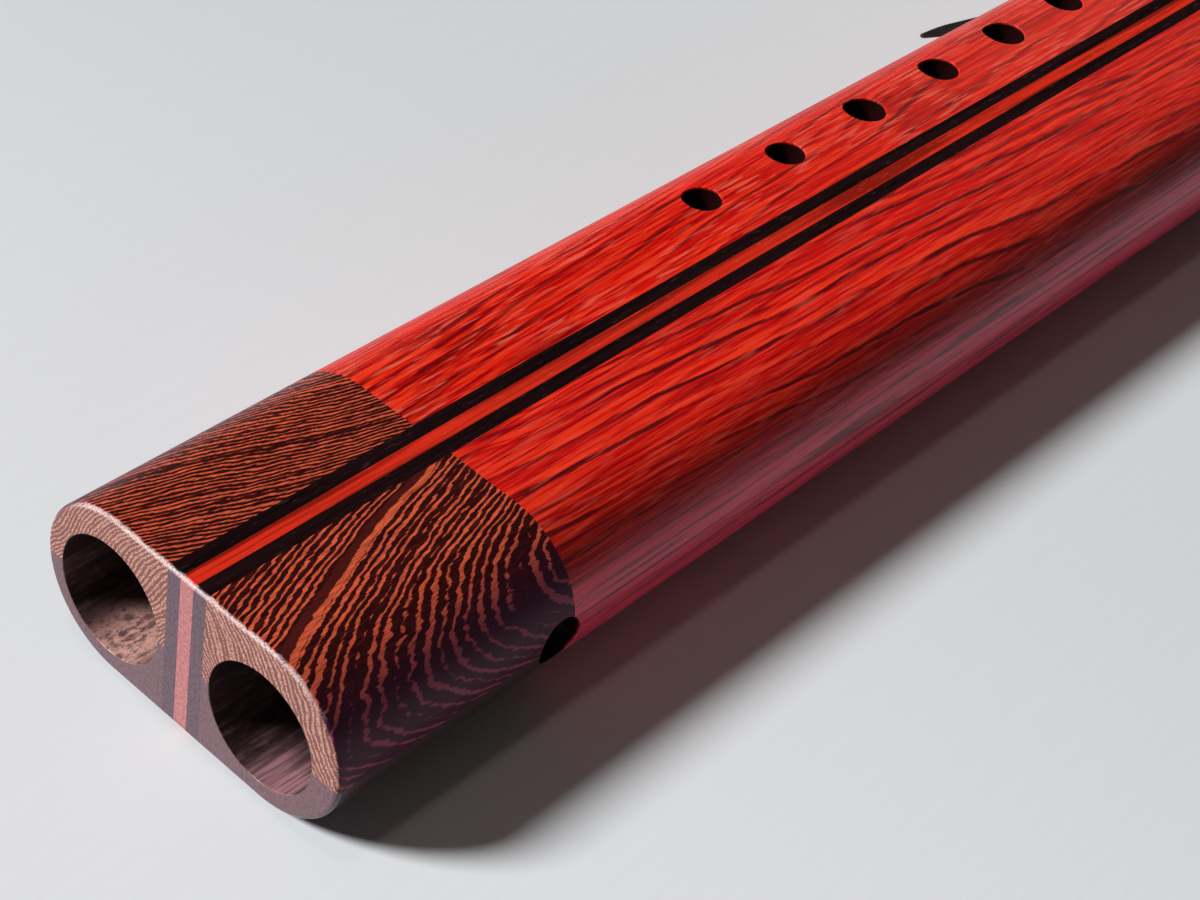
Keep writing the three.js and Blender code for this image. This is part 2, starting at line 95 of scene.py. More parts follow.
def eight_bit(red, green, blue):
    """A colour written in eight-bit display values, as the linear values that shaders take."""
    shares = (value / 255 for value in (red, green, blue))
    return tuple(s / 12.92 if s <= 0.04045 else ((s + 0.055) / 1.055) ** 2.4 for s in shares)


def toned(tone, amount):
    """A colour darkened by an amount below 1, or lightened by one above 1."""
    return [value * amount for value in tone]


def colour(name, description, default):
    """A setting for a colour."""
    return FloatVectorProperty(
        name=name, description=description, subtype="COLOR", size=3, min=0, max=1, default=default)


def length(name, description, default):
    """A setting for a length."""
    return FloatProperty(
        name=name, description=description, subtype="DISTANCE", unit="LENGTH", min=0,
        default=default)


def share(name, description, default):
    """A setting from 0 to 1."""
    return FloatProperty(
        name=name, description=description, subtype="FACTOR", min=0, max=1, default=default)


class FluteWoods(bpy.types.PropertyGroup):
    """Colours and finish of the woods."""

    stripe_dark: colour("Stripe Dark", "Dark layers of the striped wood", eight_bit(46, 9, 11))
    stripe_light: colour("Stripe Light", "Light layers of the striped wood", eight_bit(226, 98, 64))
    # Painted shade and sheen: darker, purplish layers low on the sides stand in for the shade and the
    # floor's purple reflection there.
    stripe_shaded_dark: colour("Low Dark", "Dark layers low on the sides", eight_bit(68, 28, 50))
    stripe_shaded_light: colour("Low Light", "Light layers low on the sides", eight_bit(146, 66, 86))
    stripe_plain: colour("Plain Band", "Layer without a light stripe", eight_bit(92, 32, 26))
    striped_end: colour("Striped End", "End grain of the striped wood", eight_bit(134, 86, 82))
    striped_end_light: colour(
        "Striped End Light", "Light layers in that end grain", eight_bit(208, 154, 134))
    brown: colour("Brown Wood", "Side grain of the lower blocks", eight_bit(56, 34, 38))
    brown_end: colour("Brown End Grain", "End grain of the lower blocks", eight_bit(116, 80, 89))
    brown_lines: colour("Brown End Lines", "Lines in that end grain", eight_bit(124, 96, 98))
    red_light: colour("Red Light", "Light streaks of the red boards", eight_bit(242, 53, 22))
    red: colour("Red", "Main colour of the red boards", eight_bit(212, 15, 9))
    red_deep: colour("Red Deep", "Deep bands of the red boards", eight_bit(150, 2, 9))
    # Dark streaks of the grain, also used as the colour of painted shade towards the boards' sides.
    red_dark_and_shade: colour("Red Dark", "Thin dark streaks of the red boards", eight_bit(52, 2, 8))
    # Painted sheen: a bright purplish red that stands in for the floor's reflection and bounce light
    # on the shaded sides.
    red_painted_sheen: colour("Red Side", "Purplish tone of the red boards' sides", eight_bit(244, 56, 96))
    fleck: colour("Fleck", "Short light flecks of the red boards", eight_bit(240, 106, 84))
    # Painted highlight: a paler pinkish tone over the boards past the first holes.
    red_far_highlight: colour("Red Far", "Red boards past the first holes", eight_bit(226, 92, 82))
    # Painted shade: near-black red that darkens the holes' walls where shade falls.
    red_hole_shade: colour("Red Inside", "Burnt walls of holes in the red boards", eight_bit(34, 9, 10))
    black: colour("Black Strip", "Black strips, side grain", eight_bit(29, 10, 13))
    black_end: colour("Black End Grain", "Black strips, end grain", eight_bit(109, 86, 97))
    black_fleck: colour("Black Fleck", "Flecks of the black strips", eight_bit(96, 62, 58))
    strip_red: colour("Red Strip", "Red strip, side grain", eight_bit(228, 48, 27))
    strip_red_end: colour("Red Strip End Grain", "Red strip, end grain", eight_bit(200, 126, 126))
    strip_red_fleck: colour("Red Strip Fleck", "Flecks of the red strip", eight_bit(244, 104, 60))
    strip_flecks: share("Strip Flecks", "How strongly flecks show on the strips", 0.35)
    # Bare wood of the bores, darkened beyond its own colour as painted shade inside the bores.
    bore: colour("Bore Wall", "Bare wood of the bore walls", eight_bit(50, 33, 37))
    bore_worn: colour("Bore Worn", "Rubbed streaks of the bore walls", eight_bit(104, 78, 80))
    # Painted light: the two colours below are pale patches where light falls into the bores near the
    # foot.
    bore_lit_pale: colour("Bore Pale", "Torn fibres low in the melody bore", eight_bit(222, 168, 154))
    bore_lit_low: colour("Bore Lip", "Rubbed wall low in the drone bore", eight_bit(166, 118, 124))
    # Painted highlight: near-white colour along the foot end's upper edge.
    painted_edge_highlight: colour("Edge Wear", "Rubbed upper edge of the foot end", eight_bit(232, 208, 206))
    melody_spacing: FloatProperty(
        name="Melody Stripe Spacing", description="Stripe spacing across the melody block, in mm",
        min=0.2, default=0.8)
    drone_spacing: FloatProperty(
        name="Drone Stripe Spacing", description="Stripe spacing across the drone block, in mm",
        min=0.2, default=1.08)
    plain_band: FloatProperty(
        name="Plain Band Place", description="Where the drone block's plain layer lies, in mm "
        "through the layers", default=40.6)
    arris: length("Arris Width", "Width of the eased edges", 0.8 * MM)
    sanding: length("Sanding", "How far sanding rounds the block's edges", 1.1 * MM)
    rim_share: share("Rim Share", "Easing of hole rims, as a share of the arris width", 0.2)
    lacquer: share("Lacquer", "How much lacquer covers the wood", 0.2)
    lacquer_roughness: share("Lacquer Roughness", "Roughness of the lacquer", 0.22)


class FluteLace(bpy.types.PropertyGroup):
    """Sizes and colour of the leather lace."""

    width: length("Lace Width", "Width of the flat lace", 3.2 * MM)
    thickness: length("Lace Thickness", "Thickness of the flat lace", 1.1 * MM)
    clearance: length("Lace Clearance", "Gap between lace and wood", 0.3 * MM)
    pitch: length("Winding Pitch", "Advance of the lace in one turn", 3.8 * MM)
    turns: IntProperty(
        name="Turns", description="Turns of the lace round the body", min=1, default=2)
    point: length("Point Length", "Length of the cut point of each tail", 10 * MM)
    leather: colour("Leather", "Colour of the lace", eight_bit(24, 22, 25))
    leather_edge: colour("Leather Edge", "Colour of the lace's cut edges", eight_bit(46, 38, 36))


class FluteStage(bpy.types.PropertyGroup):
    """Camera, floor and lights."""

    camera_place: FloatVectorProperty(
        name="Camera Place", description="Where the camera stands", subtype="TRANSLATION",
        unit="LENGTH", size=3, default=(-0.449843, -0.183489, 0.284140))
    camera_right: FloatVectorProperty(
        name="Camera Right", description="Direction of the picture's right", subtype="DIRECTION",
        size=3, default=(0.66330, -0.73298, 0.15092))
    camera_back: FloatVectorProperty(
        name="Camera Back", description="Direction from the view to the camera",
        subtype="DIRECTION", size=3, default=(-0.62295, -0.42906, 0.65409))
    lens: FloatProperty(
        name="Lens", description="Focal length on a sensor 36 mm wide", unit="CAMERA",
        min=1, default=72.54)
    floor_half: length("Floor Half", "Half the side of the square floor", 30)
    # The floor's colour changes from the foot end to beside the boards as painted falloff of the
    # light.
    floor: colour("Floor", "Colour of the floor before the foot end", eight_bit(235, 239, 242))
    floor_dimmed: colour("Far Floor", "The floor's colour beside the boards", eight_bit(219, 225, 227))
    key_from: FloatVectorProperty(
        name="Key From", description="Direction that the main light comes from",
        subtype="DIRECTION", size=3, default=(-0.62, 0.50, 0.62))
    key_width: FloatProperty(
        name="Key Width", description="Angle that the main light fills, seen from the flute",
        subtype="ANGLE", min=0, default=radians(12.5))
    key_strength: FloatProperty(
        name="Key Strength", description="Strength of the main light", min=0, default=4.05)
    top_from: FloatVectorProperty(
        name="Top From", description="Direction that the weak upper light comes from",
        subtype="DIRECTION", size=3, default=(-0.12, 0.09, 1))
    top_width: FloatProperty(
        name="Top Width", description="Angle that the weak upper light fills, seen from the flute",
        subtype="ANGLE", min=0, default=radians(6))
    top_strength: FloatProperty(
        name="Top Strength", description="Strength of the weak upper light", min=0, default=0.115)
    top_tint: colour("Top Tint", "Colour of the weak upper light", (1, 0.72, 0.68))
    sky: share("Sky", "Strength of the even light from all sides", 0.05)
    sky_tint: colour("Sky Tint", "Colour of the even light from all sides", (1, 0.80, 0.77))
    backdrop: colour("Backdrop", "What the camera sees beyond the floor", eight_bit(209, 211, 212))


# Surfaces worked out with numpy

def smooth_step(t):
    """3 t squared - 2 t cubed, held between 0 and 1."""
    t = np.clip(t, 0, 1)
    return t * t * (3 - 2 * t)


def unit(vectors):
    """The same directions at length 1."""
    return vectors / np.linalg.norm(vectors, axis=-1, keepdims=True)


def spline(points, steps):
    """A centripetal Catmull-Rom curve through the points, as an array of places.

    Each stretch from b to c, with neighbours a and d, is the cubic that starts and ends with
    the speeds that the square roots of the distances a-b, b-c and c-d give."""
    points = np.asarray(points, float)
    first = 2 * points[0] - points[1]
    last = 2 * points[-1] - points[-2]
    chain = np.vstack([first, points, last])
    a, b, c, d = (chain[i:len(chain) - 3 + i, None] for i in range(4))
    before, here, after = (
        np.sqrt(np.linalg.norm(q - p, axis=-1, keepdims=True)) for p, q in ((a, b), (b, c), (c, d)))
    start = here * ((b - a) / before - (c - a) / (before + here) + (c - b) / here)
    end = here * ((c - b) / here - (d - b) / (here + after) + (d - c) / after)
    t = np.linspace(0, 1, steps, endpoint=False)[None, :, None]
    cubic = (b * (2 * t**3 - 3 * t**2 + 1) + start * (t**3 - 2 * t**2 + t)
             + c * (3 * t**2 - 2 * t**3) + end * (t**3 - t**2))
    return np.vstack([cubic.reshape(-1, 3), points[-1]])


def even_steps(path, count):
    """The same path with its places at even distances along it."""
    runs = np.r_[0, np.cumsum(np.linalg.norm(np.diff(path, axis=0), axis=1))]
    wanted = np.linspace(0, runs[-1], count)
    return np.stack([np.interp(wanted, runs, path[:, k]) for k in range(3)], axis=1)


def run_length(path):
    """How long a path is, along its steps."""
    return float(np.linalg.norm(np.diff(path, axis=0), axis=1).sum())


def lace_section():
    """A flat band with round edges, as (across, through) shares of half width and thickness.

    It is a superellipse of power 3 across and 2.4 through, over one full turn."""
    turn = np.linspace(0, 2 * pi, 20, endpoint=False)
    across = np.sign(np.cos(turn)) * np.abs(np.cos(turn)) ** (2 / 3)
    through = np.sign(np.sin(turn)) * np.abs(np.sin(turn)) ** (2 / 2.4)
    return np.stack([across, through], axis=1)


def carried(path, through, width, thickness, closed=False):
    """A section carried along a path, as a grid of places.

    place(i, j) = path(i) + across(i) width(i) / 2 a(j) + through(i) thickness(i) / 2 t(j),
    where across is square to the path and to through, and a and t are the section's shares."""
    if closed:
        tangent = unit(np.roll(path, -1, axis=0) - np.roll(path, 1, axis=0))
    else:
        tangent = unit(np.gradient(path, axis=0))
    across = unit(np.cross(through, tangent))
    through = np.cross(tangent, across)
    section = lace_section()
    width = np.broadcast_to(width, len(path))[:, None, None] / 2
    thickness = np.broadcast_to(thickness, len(path))[:, None, None] / 2
    return (path[:, None] + across[:, None] * section[None, :, :1] * width
            + through[:, None] * section[None, :, 1:] * thickness)


def grid_faces(rows, columns, closed=False):
    """Quads between neighbouring rows of a grid whose columns close on themselves."""
    i, j = np.meshgrid(np.arange(rows if closed else rows - 1), np.arange(columns), indexing="ij")
    after = (i + 1) % rows
    beside = (j + 1) % columns
    return np.stack([
        i * columns + j, i * columns + beside, after * columns + beside, after * columns + j],
        axis=-1).reshape(-1, 4)


def new_piece(name, parts):
    """One object from grids (places, closed): tubes whose open ends get a flat cap each."""
    places, faces = [], []
    for grid, closed in parts:
        offset = sum(len(p) for p in places)
        rows, columns = grid.shape[:2]
        quads = grid_faces(rows, columns, closed) + offset
        places.append(grid.reshape(-1, 3))
        faces += quads.tolist()
        if not closed:
            faces.append(list(range(offset + columns - 1, offset - 1, -1)))
            faces.append(list(range(offset + (rows - 1) * columns, offset + rows * columns)))
    mesh = bpy.data.meshes.new(name)
    mesh.from_pydata(np.concatenate(places).tolist(), [], faces)
    shape = bmesh.new()
    shape.from_mesh(mesh)
    bmesh.ops.recalc_face_normals(shape, faces=shape.faces)
    shape.to_mesh(mesh)
    shape.free()
    mesh.polygons.foreach_set("use_smooth", np.ones(len(mesh.polygons), bool))
    piece = bpy.data.objects.new(name, mesh)
    bpy.context.scene.collection.objects.link(piece)
    return piece


# Materials

class Finish:
    """One procedural material: its shader, its pattern space in millimetres, its helpers."""

    def __init__(self, name):
        self.material = bpy.data.materials.new(name)
        self.material.use_nodes = True
        self.tree = self.material.node_tree
        self.shader = self.tree.nodes["Principled BSDF"]
        coordinates = self.tree.nodes.new("ShaderNodeTexCoord")
        self.place = self.turned(coordinates.outputs["Object"], scale=(1 / MM,) * 3)
        split = self.tree.nodes.new("ShaderNodeSeparateXYZ")
        self.join(split.inputs[0], self.place)
        self.x, self.y, self.z = split.outputs

    def join(self, socket, value):
        """Link a socket to a node's output, or set its number or colour."""
        if isinstance(value, bpy.types.NodeSocket):
            self.tree.links.new(value, socket)
        elif socket.type == "RGBA" and len(value) == 3:
            socket.default_value = (*value, 1)
        else:
            socket.default_value = value

    def turned(self, vector, turn=(0, 0, 0), scale=(1, 1, 1), shift=(0, 0, 0)):
        """The same space scaled, turned by degrees about X, Y and Z, and shifted."""
        node = self.tree.nodes.new("ShaderNodeMapping")
        self.join(node.inputs["Vector"], vector)
        node.inputs["Rotation"].default_value = [radians(angle) for angle in turn]
        node.inputs["Scale"].default_value = scale
        node.inputs["Location"].default_value = shift
        return node.outputs[0]

    def math(self, operation, *values):
        """One step of arithmetic."""
        node = self.tree.nodes.new("ShaderNodeMath")
        node.operation = operation
        for socket, value in zip(node.inputs, values):
            self.join(socket, value)
        return node.outputs[0]

    def times(self, product, *values):
        """All values multiplied."""
        for value in values:
            product = self.math("MULTIPLY", product, value)
        return product

    def plus(self, value, addition, amount):
        """value + addition * amount."""
        return self.math("MULTIPLY_ADD", addition, amount, value)

    def minus(self, value, taken):
        """value - taken."""
        return self.math("SUBTRACT", value, taken)

    def distance(self, across, up):
        """How far a place lies from a line along X, from its distances across and up."""
        squares = self.math("MULTIPLY_ADD", across, across, self.math("MULTIPLY", up, up))
        return self.math("SQRT", squares)

    def along(self, vector, direction):
        """How far a place lies along a direction, times the direction's length."""
        node = self.tree.nodes.new("ShaderNodeVectorMath")
        node.operation = "DOT_PRODUCT"
        self.join(node.inputs[0], vector)
        node.inputs[1].default_value = direction
        return node.outputs["Value"]

    def bend(self, scale, amount):
        """Bend the pattern space: noise moves each place by 0 to the given amounts, in mm."""
        node = self.tree.nodes.new("ShaderNodeTexNoise")
        self.join(node.inputs["Vector"], self.turned(self.place, scale=scale))
        node.inputs["Scale"].default_value = 1
        move = self.tree.nodes.new("ShaderNodeVectorMath")
        move.operation = "MULTIPLY_ADD"
        self.join(move.inputs[0], node.outputs["Color"])
        move.inputs[1].default_value = amount
        self.join(move.inputs[2], self.place)
        self.place = move.outputs[0]

    def noise(self, scale, turn=(0, 0, 0), detail=2.0, roughness=0.5, shift=(0, 0, 0)):
        """Noise from 0 to 1 about 0.5, with that many waves per millimetre along X, Y and Z."""
        node = self.tree.nodes.new("ShaderNodeTexNoise")
        self.join(node.inputs["Vector"], self.turned(self.place, turn, scale, shift))
        node.inputs["Scale"].default_value = 1
        node.inputs["Detail"].default_value = detail
        node.inputs["Roughness"].default_value = roughness
        return node.outputs["Fac"]

    def noise_of(self, value, scale, detail=1.0):
        """Noise from 0 to 1 of one number."""
        node = self.tree.nodes.new("ShaderNodeTexNoise")
        node.noise_dimensions = "1D"
        self.join(node.inputs["W"], value)
        node.inputs["Scale"].default_value = scale
        node.inputs["Detail"].default_value = detail
        return node.outputs["Fac"]

    def rise(self, value, low, high):
        """0 below low, 1 above high, smooth between them. With low above high it falls."""
        node = self.tree.nodes.new("ShaderNodeMapRange")
        node.interpolation_type = "SMOOTHSTEP"
        self.join(node.inputs["Value"], value)
        node.inputs["From Min"].default_value = low
        node.inputs["From Max"].default_value = high
        return node.outputs[0]

    def mixed(self, amount, first, second):
        """The first colour at amount 0, the second at 1."""
        node = self.tree.nodes.new("ShaderNodeMix")
        node.data_type = "RGBA"
        self.join(node.inputs["Factor"], amount)
        self.join(next(s for s in node.inputs if s.name == "A" and s.type == "RGBA"), first)
        self.join(next(s for s in node.inputs if s.name == "B" and s.type == "RGBA"), second)
        return next(s for s in node.outputs if s.type == "RGBA")

    def bump(self, height, distance, strength, before=None):
        """The shading of small heights, over those of another bump."""
        node = self.tree.nodes.new("ShaderNodeBump")
        node.inputs["Strength"].default_value = strength
        node.inputs["Distance"].default_value = distance
        self.join(node.inputs["Height"], height)
        if before is not None:
            self.join(node.inputs["Normal"], before)
        return node.outputs[0]

    def worn(self, normal):
        """Slow unevenness of hand-rubbed lacquer over a finer bump."""
        waves = self.noise((0.5, 0.9, 0.9), detail=3, shift=(6, 6, 6))
        return self.bump(waves, 0.05 * MM, 0.6, normal)

    def done(self, base, roughness, normal, coat=0.0, coat_roughness=0.2, specular=0.5):
        """Set the shader and hand over the material."""
        self.join(self.shader.inputs["Base Color"], base)
        self.join(self.shader.inputs["Roughness"], roughness)
        self.join(self.shader.inputs["Normal"], normal)
        self.shader.inputs["Specular IOR Level"].default_value = specular
        self.shader.inputs["Coat Weight"].default_value = coat
        self.shader.inputs["Coat Roughness"].default_value = coat_roughness
        return self.material


def near_foot_face(finish):
    """1 on the sawn foot end, 0 on the rest."""
    face = FOOT_FACE / MM
    return finish.rise(finish.x, face + 0.35, face + 0.1)


def in_bore(finish):
    """1 inside either bore, 0 on the rest, from the distance to the bores' axes."""
    walls = []
    for side in SIDES:
        across = finish.minus(finish.y, BORE_Y[side] / MM)
        up = finish.minus(finish.z, SEAM / MM)
        far = finish.distance(across, up)
        walls.append(finish.rise(far, BORE_RADIUS / MM + 0.12, BORE_RADIUS / MM + 0.02))
    return finish.math("MAXIMUM", *walls)


def from_core(finish):
    """Distance from the flat core between the two round sides, square to the length.

    On the outer surface it is the radius of the round sides, and inside it is less."""
    middle = (OUTER_Y["melody"] + OUTER_Y["drone"]) / 2
    core = (OUTER_Y["melody"] - OUTER_Y["drone"]) / 2 - SIDE_RADIUS
    across = finish.math("ABSOLUTE", finish.minus(finish.y, middle / MM))
    across = finish.math("MAXIMUM", finish.minus(across, core / MM), 0)
    up = finish.minus(finish.z, MIDDLE_Z / MM)
    return finish.distance(across, up)


def inside(finish):
    """1 deep in holes and bores, 0 near the outer surface, in the shallow nest and at the
    mouth end. It places the painted shade deep in holes and bores."""
    far, skin = from_core(finish), SIDE_RADIUS / MM
    short_of_nest, under_nest = BLOCK_LOW.x / MM - 22, skin - 2.0
    before_mouth = finish.rise(finish.x, MOUTH_FACE / MM - 12, MOUTH_FACE / MM - 16)
    before_nest = finish.rise(finish.x, short_of_nest, short_of_nest - 2)
    holes = finish.times(finish.rise(far, skin - 0.25, skin - 0.6), before_nest)
    deep = finish.rise(far, under_nest, under_nest - 0.6)
    return finish.times(finish.math("MAXIMUM", holes, deep), before_mouth)


def rubbed(finish, base):
    """Painted highlight along the foot end's upper edge: pale specks where end face and
    outline meet, near the top.
    """
    woods = bpy.context.scene.flute_woods
    skin, top = SIDE_RADIUS / MM, TOP / MM
    specks = finish.noise((4.5, 4.0, 4.5), detail=3, roughness=0.7, shift=(2, 5, 2))
    waves = finish.noise((0.7, 0.5, 0.7), detail=3, shift=(7, 5, 1))
    reach = finish.plus(finish.minus(finish.x, FOOT_FACE / MM), waves, -1.1)
    at_outline = finish.rise(from_core(finish), skin - 0.75, skin - 0.3)
    band = finish.times(finish.rise(reach, 0.25, -0.2), at_outline)
    upper = finish.rise(finish.z, top - 6, top - 1)
    patches = finish.times(upper, finish.rise(specks, 0.32, 0.62))
    return finish.mixed(finish.times(band, patches), base, woods.painted_edge_highlight)


# Level of the stripes' wave from which a layer is light
STRIPE_LIGHT_FROM = {"melody": 2.66, "drone": 2.8}


def striped_wood(name, side, spacing, plain_band=None, body=True):
    """Dark wood with thin light layers.

    The layers are planes that lean the same way on both sides of the strips, and less
    steeply along the flute low on the sides. Their distance is bent by four noises, from a
    slow bend down to a ragged edge along the grain, and a sine of it makes the stripes.
    plain_band is the distance at which one layer stays plain, with a wide light layer
    beside it. body adds what the body's blocks have: painted shade and purple sheen low on
    the sides, end grain and bores."""
    woods = bpy.context.scene.flute_woods
    finish = Finish(name)
    top, block_middle = TOP / MM, -(FOOT_FACE + FOOT_JOINT) / 2 / MM
    from_middle = finish.minus(block_middle, finish.math("ABSOLUTE", finish.x))
    lean = finish.plus(0.27, finish.rise(finish.z, top - 12, top - 1), 0.10)
    depth = finish.along(finish.place, (0, SIDES[side], 0.78))
    depth = finish.plus(depth, from_middle, lean)
    bends = [
        (finish.noise((0.020, 0.040, 0.040), detail=1), 5.0),
        (finish.noise((0.09, 0.20, 0.20), detail=1, shift=(3, 1, 7)), 1.6 * spacing),
        (finish.noise((0.28, 0.7, 0.7), detail=2, roughness=0.6, shift=(9, 4, 2)), 0.85 * spacing),
        (finish.noise((0.45, 2.4, 2.4), detail=3, roughness=0.7, shift=(4, 6, 6)), 0.28 * spacing),
    ]
    for noise, amount in bends:
        depth = finish.plus(depth, noise, amount)
    layer = finish.math("DIVIDE", depth, spacing)
    wave = finish.math("SINE", finish.times(layer, 2 * pi))
    level = finish.plus(wave, finish.noise_of(layer, 0.6), 2.2)
    gaps = finish.noise((0.16, 1.0, 1.0), detail=3, roughness=0.65, shift=(2, 2, 9))
    level = finish.plus(level, gaps, 2.9)
    # low marks the sides below the top, where fewer light layers and darker purplish colours are
    # painted shade and painted sheen.
    low = finish.rise(finish.z, top - 0.2, top - 8)
    level = finish.plus(level, low, -0.2)
    light = finish.rise(level, STRIPE_LIGHT_FROM[side], 3.3)
    fibres = finish.noise((0.30, 4.5, 4.5), detail=3, roughness=0.6, shift=(5, 5, 1))
    dark = finish.mixed(finish.rise(fibres, 0.45, 0.8), woods.stripe_dark, woods.stripe_plain)
    pale = finish.mixed(
        finish.rise(fibres, 0.36, 0.6), toned(woods.stripe_light, 0.5), woods.stripe_light)
    base = finish.mixed(light, dark, pale)
    if plain_band is not None:
        beyond = finish.minus(depth, plain_band)
        plain = finish.rise(finish.math("ABSOLUTE", beyond), 0.75, 0.6)
        beside = finish.rise(finish.math("ABSOLUTE", finish.minus(beyond, 1.15)), 0.45, 0.3)
        plain_wood = finish.mixed(fibres, woods.stripe_dark, woods.stripe_plain)
        base = finish.mixed(plain, base, plain_wood)
        base = finish.mixed(beside, base, pale)
    if body:
        # Painted shade and purple sheen low on the sides.
        shaded_sides = finish.mixed(light, woods.stripe_shaded_dark, woods.stripe_shaded_light)
        base = finish.mixed(low, base, shaded_sides)
        # Painted shade deep in holes and bores, in the bores' dark colour.
        base = finish.mixed(inside(finish), base, woods.bore)
        light_end = finish.rise(level, 2.0, 3.0)
        ends = finish.mixed(light_end, woods.striped_end, woods.striped_end_light)
        specks = finish.noise((2, 3, 3), detail=3, shift=(4, 4, 4))
        ends = finish.mixed(finish.rise(specks, 0.3, 0.6), toned(woods.striped_end, 0.7), ends)
        base = finish.mixed(near_foot_face(finish), base, ends)
        # The bore walls take the bores' colour, and rubbed paints a highlight along the foot end's
        # upper edge.
        base = rubbed(finish, finish.mixed(in_bore(finish), base, woods.bore))
    pores = finish.noise((0.5, 8, 8), detail=2, shift=(1, 8, 3))
    height = finish.plus(finish.rise(pores, 0.3, 0.42), light, 0.5)
    normal = finish.worn(finish.bump(height, 0.03 * MM, 0.5))
    rough = finish.plus(0.34, fibres, 0.14)
    return finish.done(
        base, rough, normal, woods.lacquer * 0.25, woods.lacquer_roughness, specular=0.10)


def bore_wall(finish):
    """Bare wood of the bores' lower walls, with streaks along X.

    Near the foot, pale patches low in the drone bore and in the melody bore are painted
    light, where light falls in through the foot end. One noise frays the edges of both."""
    woods = bpy.context.scene.flute_woods
    face, seam = FOOT_FACE / MM, SEAM / MM
    melody, drone = BORE_Y["melody"] / MM, BORE_Y["drone"] / MM
    streaks = finish.noise((0.07, 0.9, 0.9), detail=3, roughness=0.6, shift=(8, 3, 3))
    torn = finish.noise((0.45, 0.8, 0.8), detail=6, roughness=0.75, shift=(1, 1, 5))
    worn = finish.rise(finish.plus(streaks, torn, 0.7), 0.75, 1.1)
    wall = finish.mixed(worn, woods.bore, woods.bore_worn)
    # Painted light low in the drone bore near the foot.
    reach = finish.rise(finish.plus(finish.x, torn, 10), face + 16, face + 8)
    across = finish.rise(finish.plus(finish.y, torn, 2), drone + 4, drone + 1.6)
    lip = finish.times(reach, across, finish.rise(finish.z, seam - 6.9, seam - 8.9))
    lit_low_wood = finish.mixed(finish.rise(streaks, 0.35, 0.62), woods.bore_worn, woods.bore_lit_low)
    wall = finish.mixed(lip, wall, lit_low_wood)
    # Painted light low in the melody bore near the foot.
    reach = finish.rise(finish.plus(finish.x, torn, 16), face + 24, face + 15)
    across = finish.rise(finish.plus(finish.y, torn, 14), melody + 14.4, melody + 9.4)
    across = finish.times(across, finish.rise(finish.y, 0, 4))
    down = finish.rise(finish.plus(finish.z, torn, 8), seam - 1.9, seam - 6.9)
    fibres = finish.mixed(finish.rise(torn, 0.40, 0.60), woods.bore_worn, woods.bore_lit_pale)
    return finish.mixed(finish.times(reach, across, down), wall, fibres)


def brown_wood(name):
    """Dark wood of the lower blocks: fine streaks along X, and speckled end grain with
    slanting lines."""
    woods = bpy.context.scene.flute_woods
    finish = Finish(name)
    streaks = finish.noise((0.05, 1.4, 1.4), detail=4, roughness=0.6)
    fibres = finish.noise((0.4, 7, 7), detail=3)
    base = finish.mixed(finish.rise(streaks, 0.35, 0.7), woods.brown, toned(woods.brown, 0.55))
    glints = finish.times(finish.rise(fibres, 0.55, 0.8), 0.5)
    base = finish.mixed(glints, base, toned(woods.brown, 1.9))
    flecks = finish.noise((1.7, 1.7, 1.7), detail=4, roughness=0.7, shift=(4, 4, 4))
    speckled = toned(woods.brown_end, 0.55)
    end = finish.mixed(finish.rise(flecks, 0.42, 0.62), woods.brown_end, speckled)
    lines = finish.noise((0.6, 2.2, 0.7), turn=(38, 0, 0), detail=3)
    lines = finish.times(finish.rise(lines, 0.5, 0.7), 0.4)
    end = finish.mixed(lines, end, woods.brown_lines)
    base = finish.mixed(near_foot_face(finish), base, end)
    base = finish.mixed(in_bore(finish), base, bore_wall(finish))
    normal = finish.worn(finish.bump(fibres, 0.05 * MM, 0.5))
    return finish.done(base, 0.34, normal, woods.lacquer, woods.lacquer_roughness, specular=0.35)


class RedBoards(NamedTuple):
    """What differs between the red boards of the two sides."""

    lean: float  # how the layers turn aside along the flute
    darkening: float  # how much a layer darkens towards its vein
    veins: float  # strength of the thin dark veins
    blots: float  # strength of the dark patches
    far: float  # strength of the paler pinkish tone past the first holes, a painted highlight
    turned: float  # how much painted shade darkens the boards towards their sides
    painted_shade_far: float  # how much more painted shade past the first holes
    sides: float  # strength of the purplish painted sheen on the sides
    slant: float  # slant of the light flecks, in degrees
    flecks: float  # strength of the light flecks
    lacquer: float  # share of the full lacquer
    specular: float  # shine of the wood under the lacquer


RED_BOARDS = {
    "melody": RedBoards(
        lean=-0.10, darkening=0.06, veins=0.6, blots=0.6, far=0.32, turned=0.15, painted_shade_far=0,
        sides=0.2, slant=12, flecks=0.7, lacquer=0.1, specular=0.14),
    "drone": RedBoards(
        lean=0.10, darkening=0.16, veins=0.85, blots=0.25, far=0.14, turned=0.45, painted_shade_far=0.4,
        sides=0.75, slant=3, flecks=0.25, lacquer=1, specular=0.32),
}


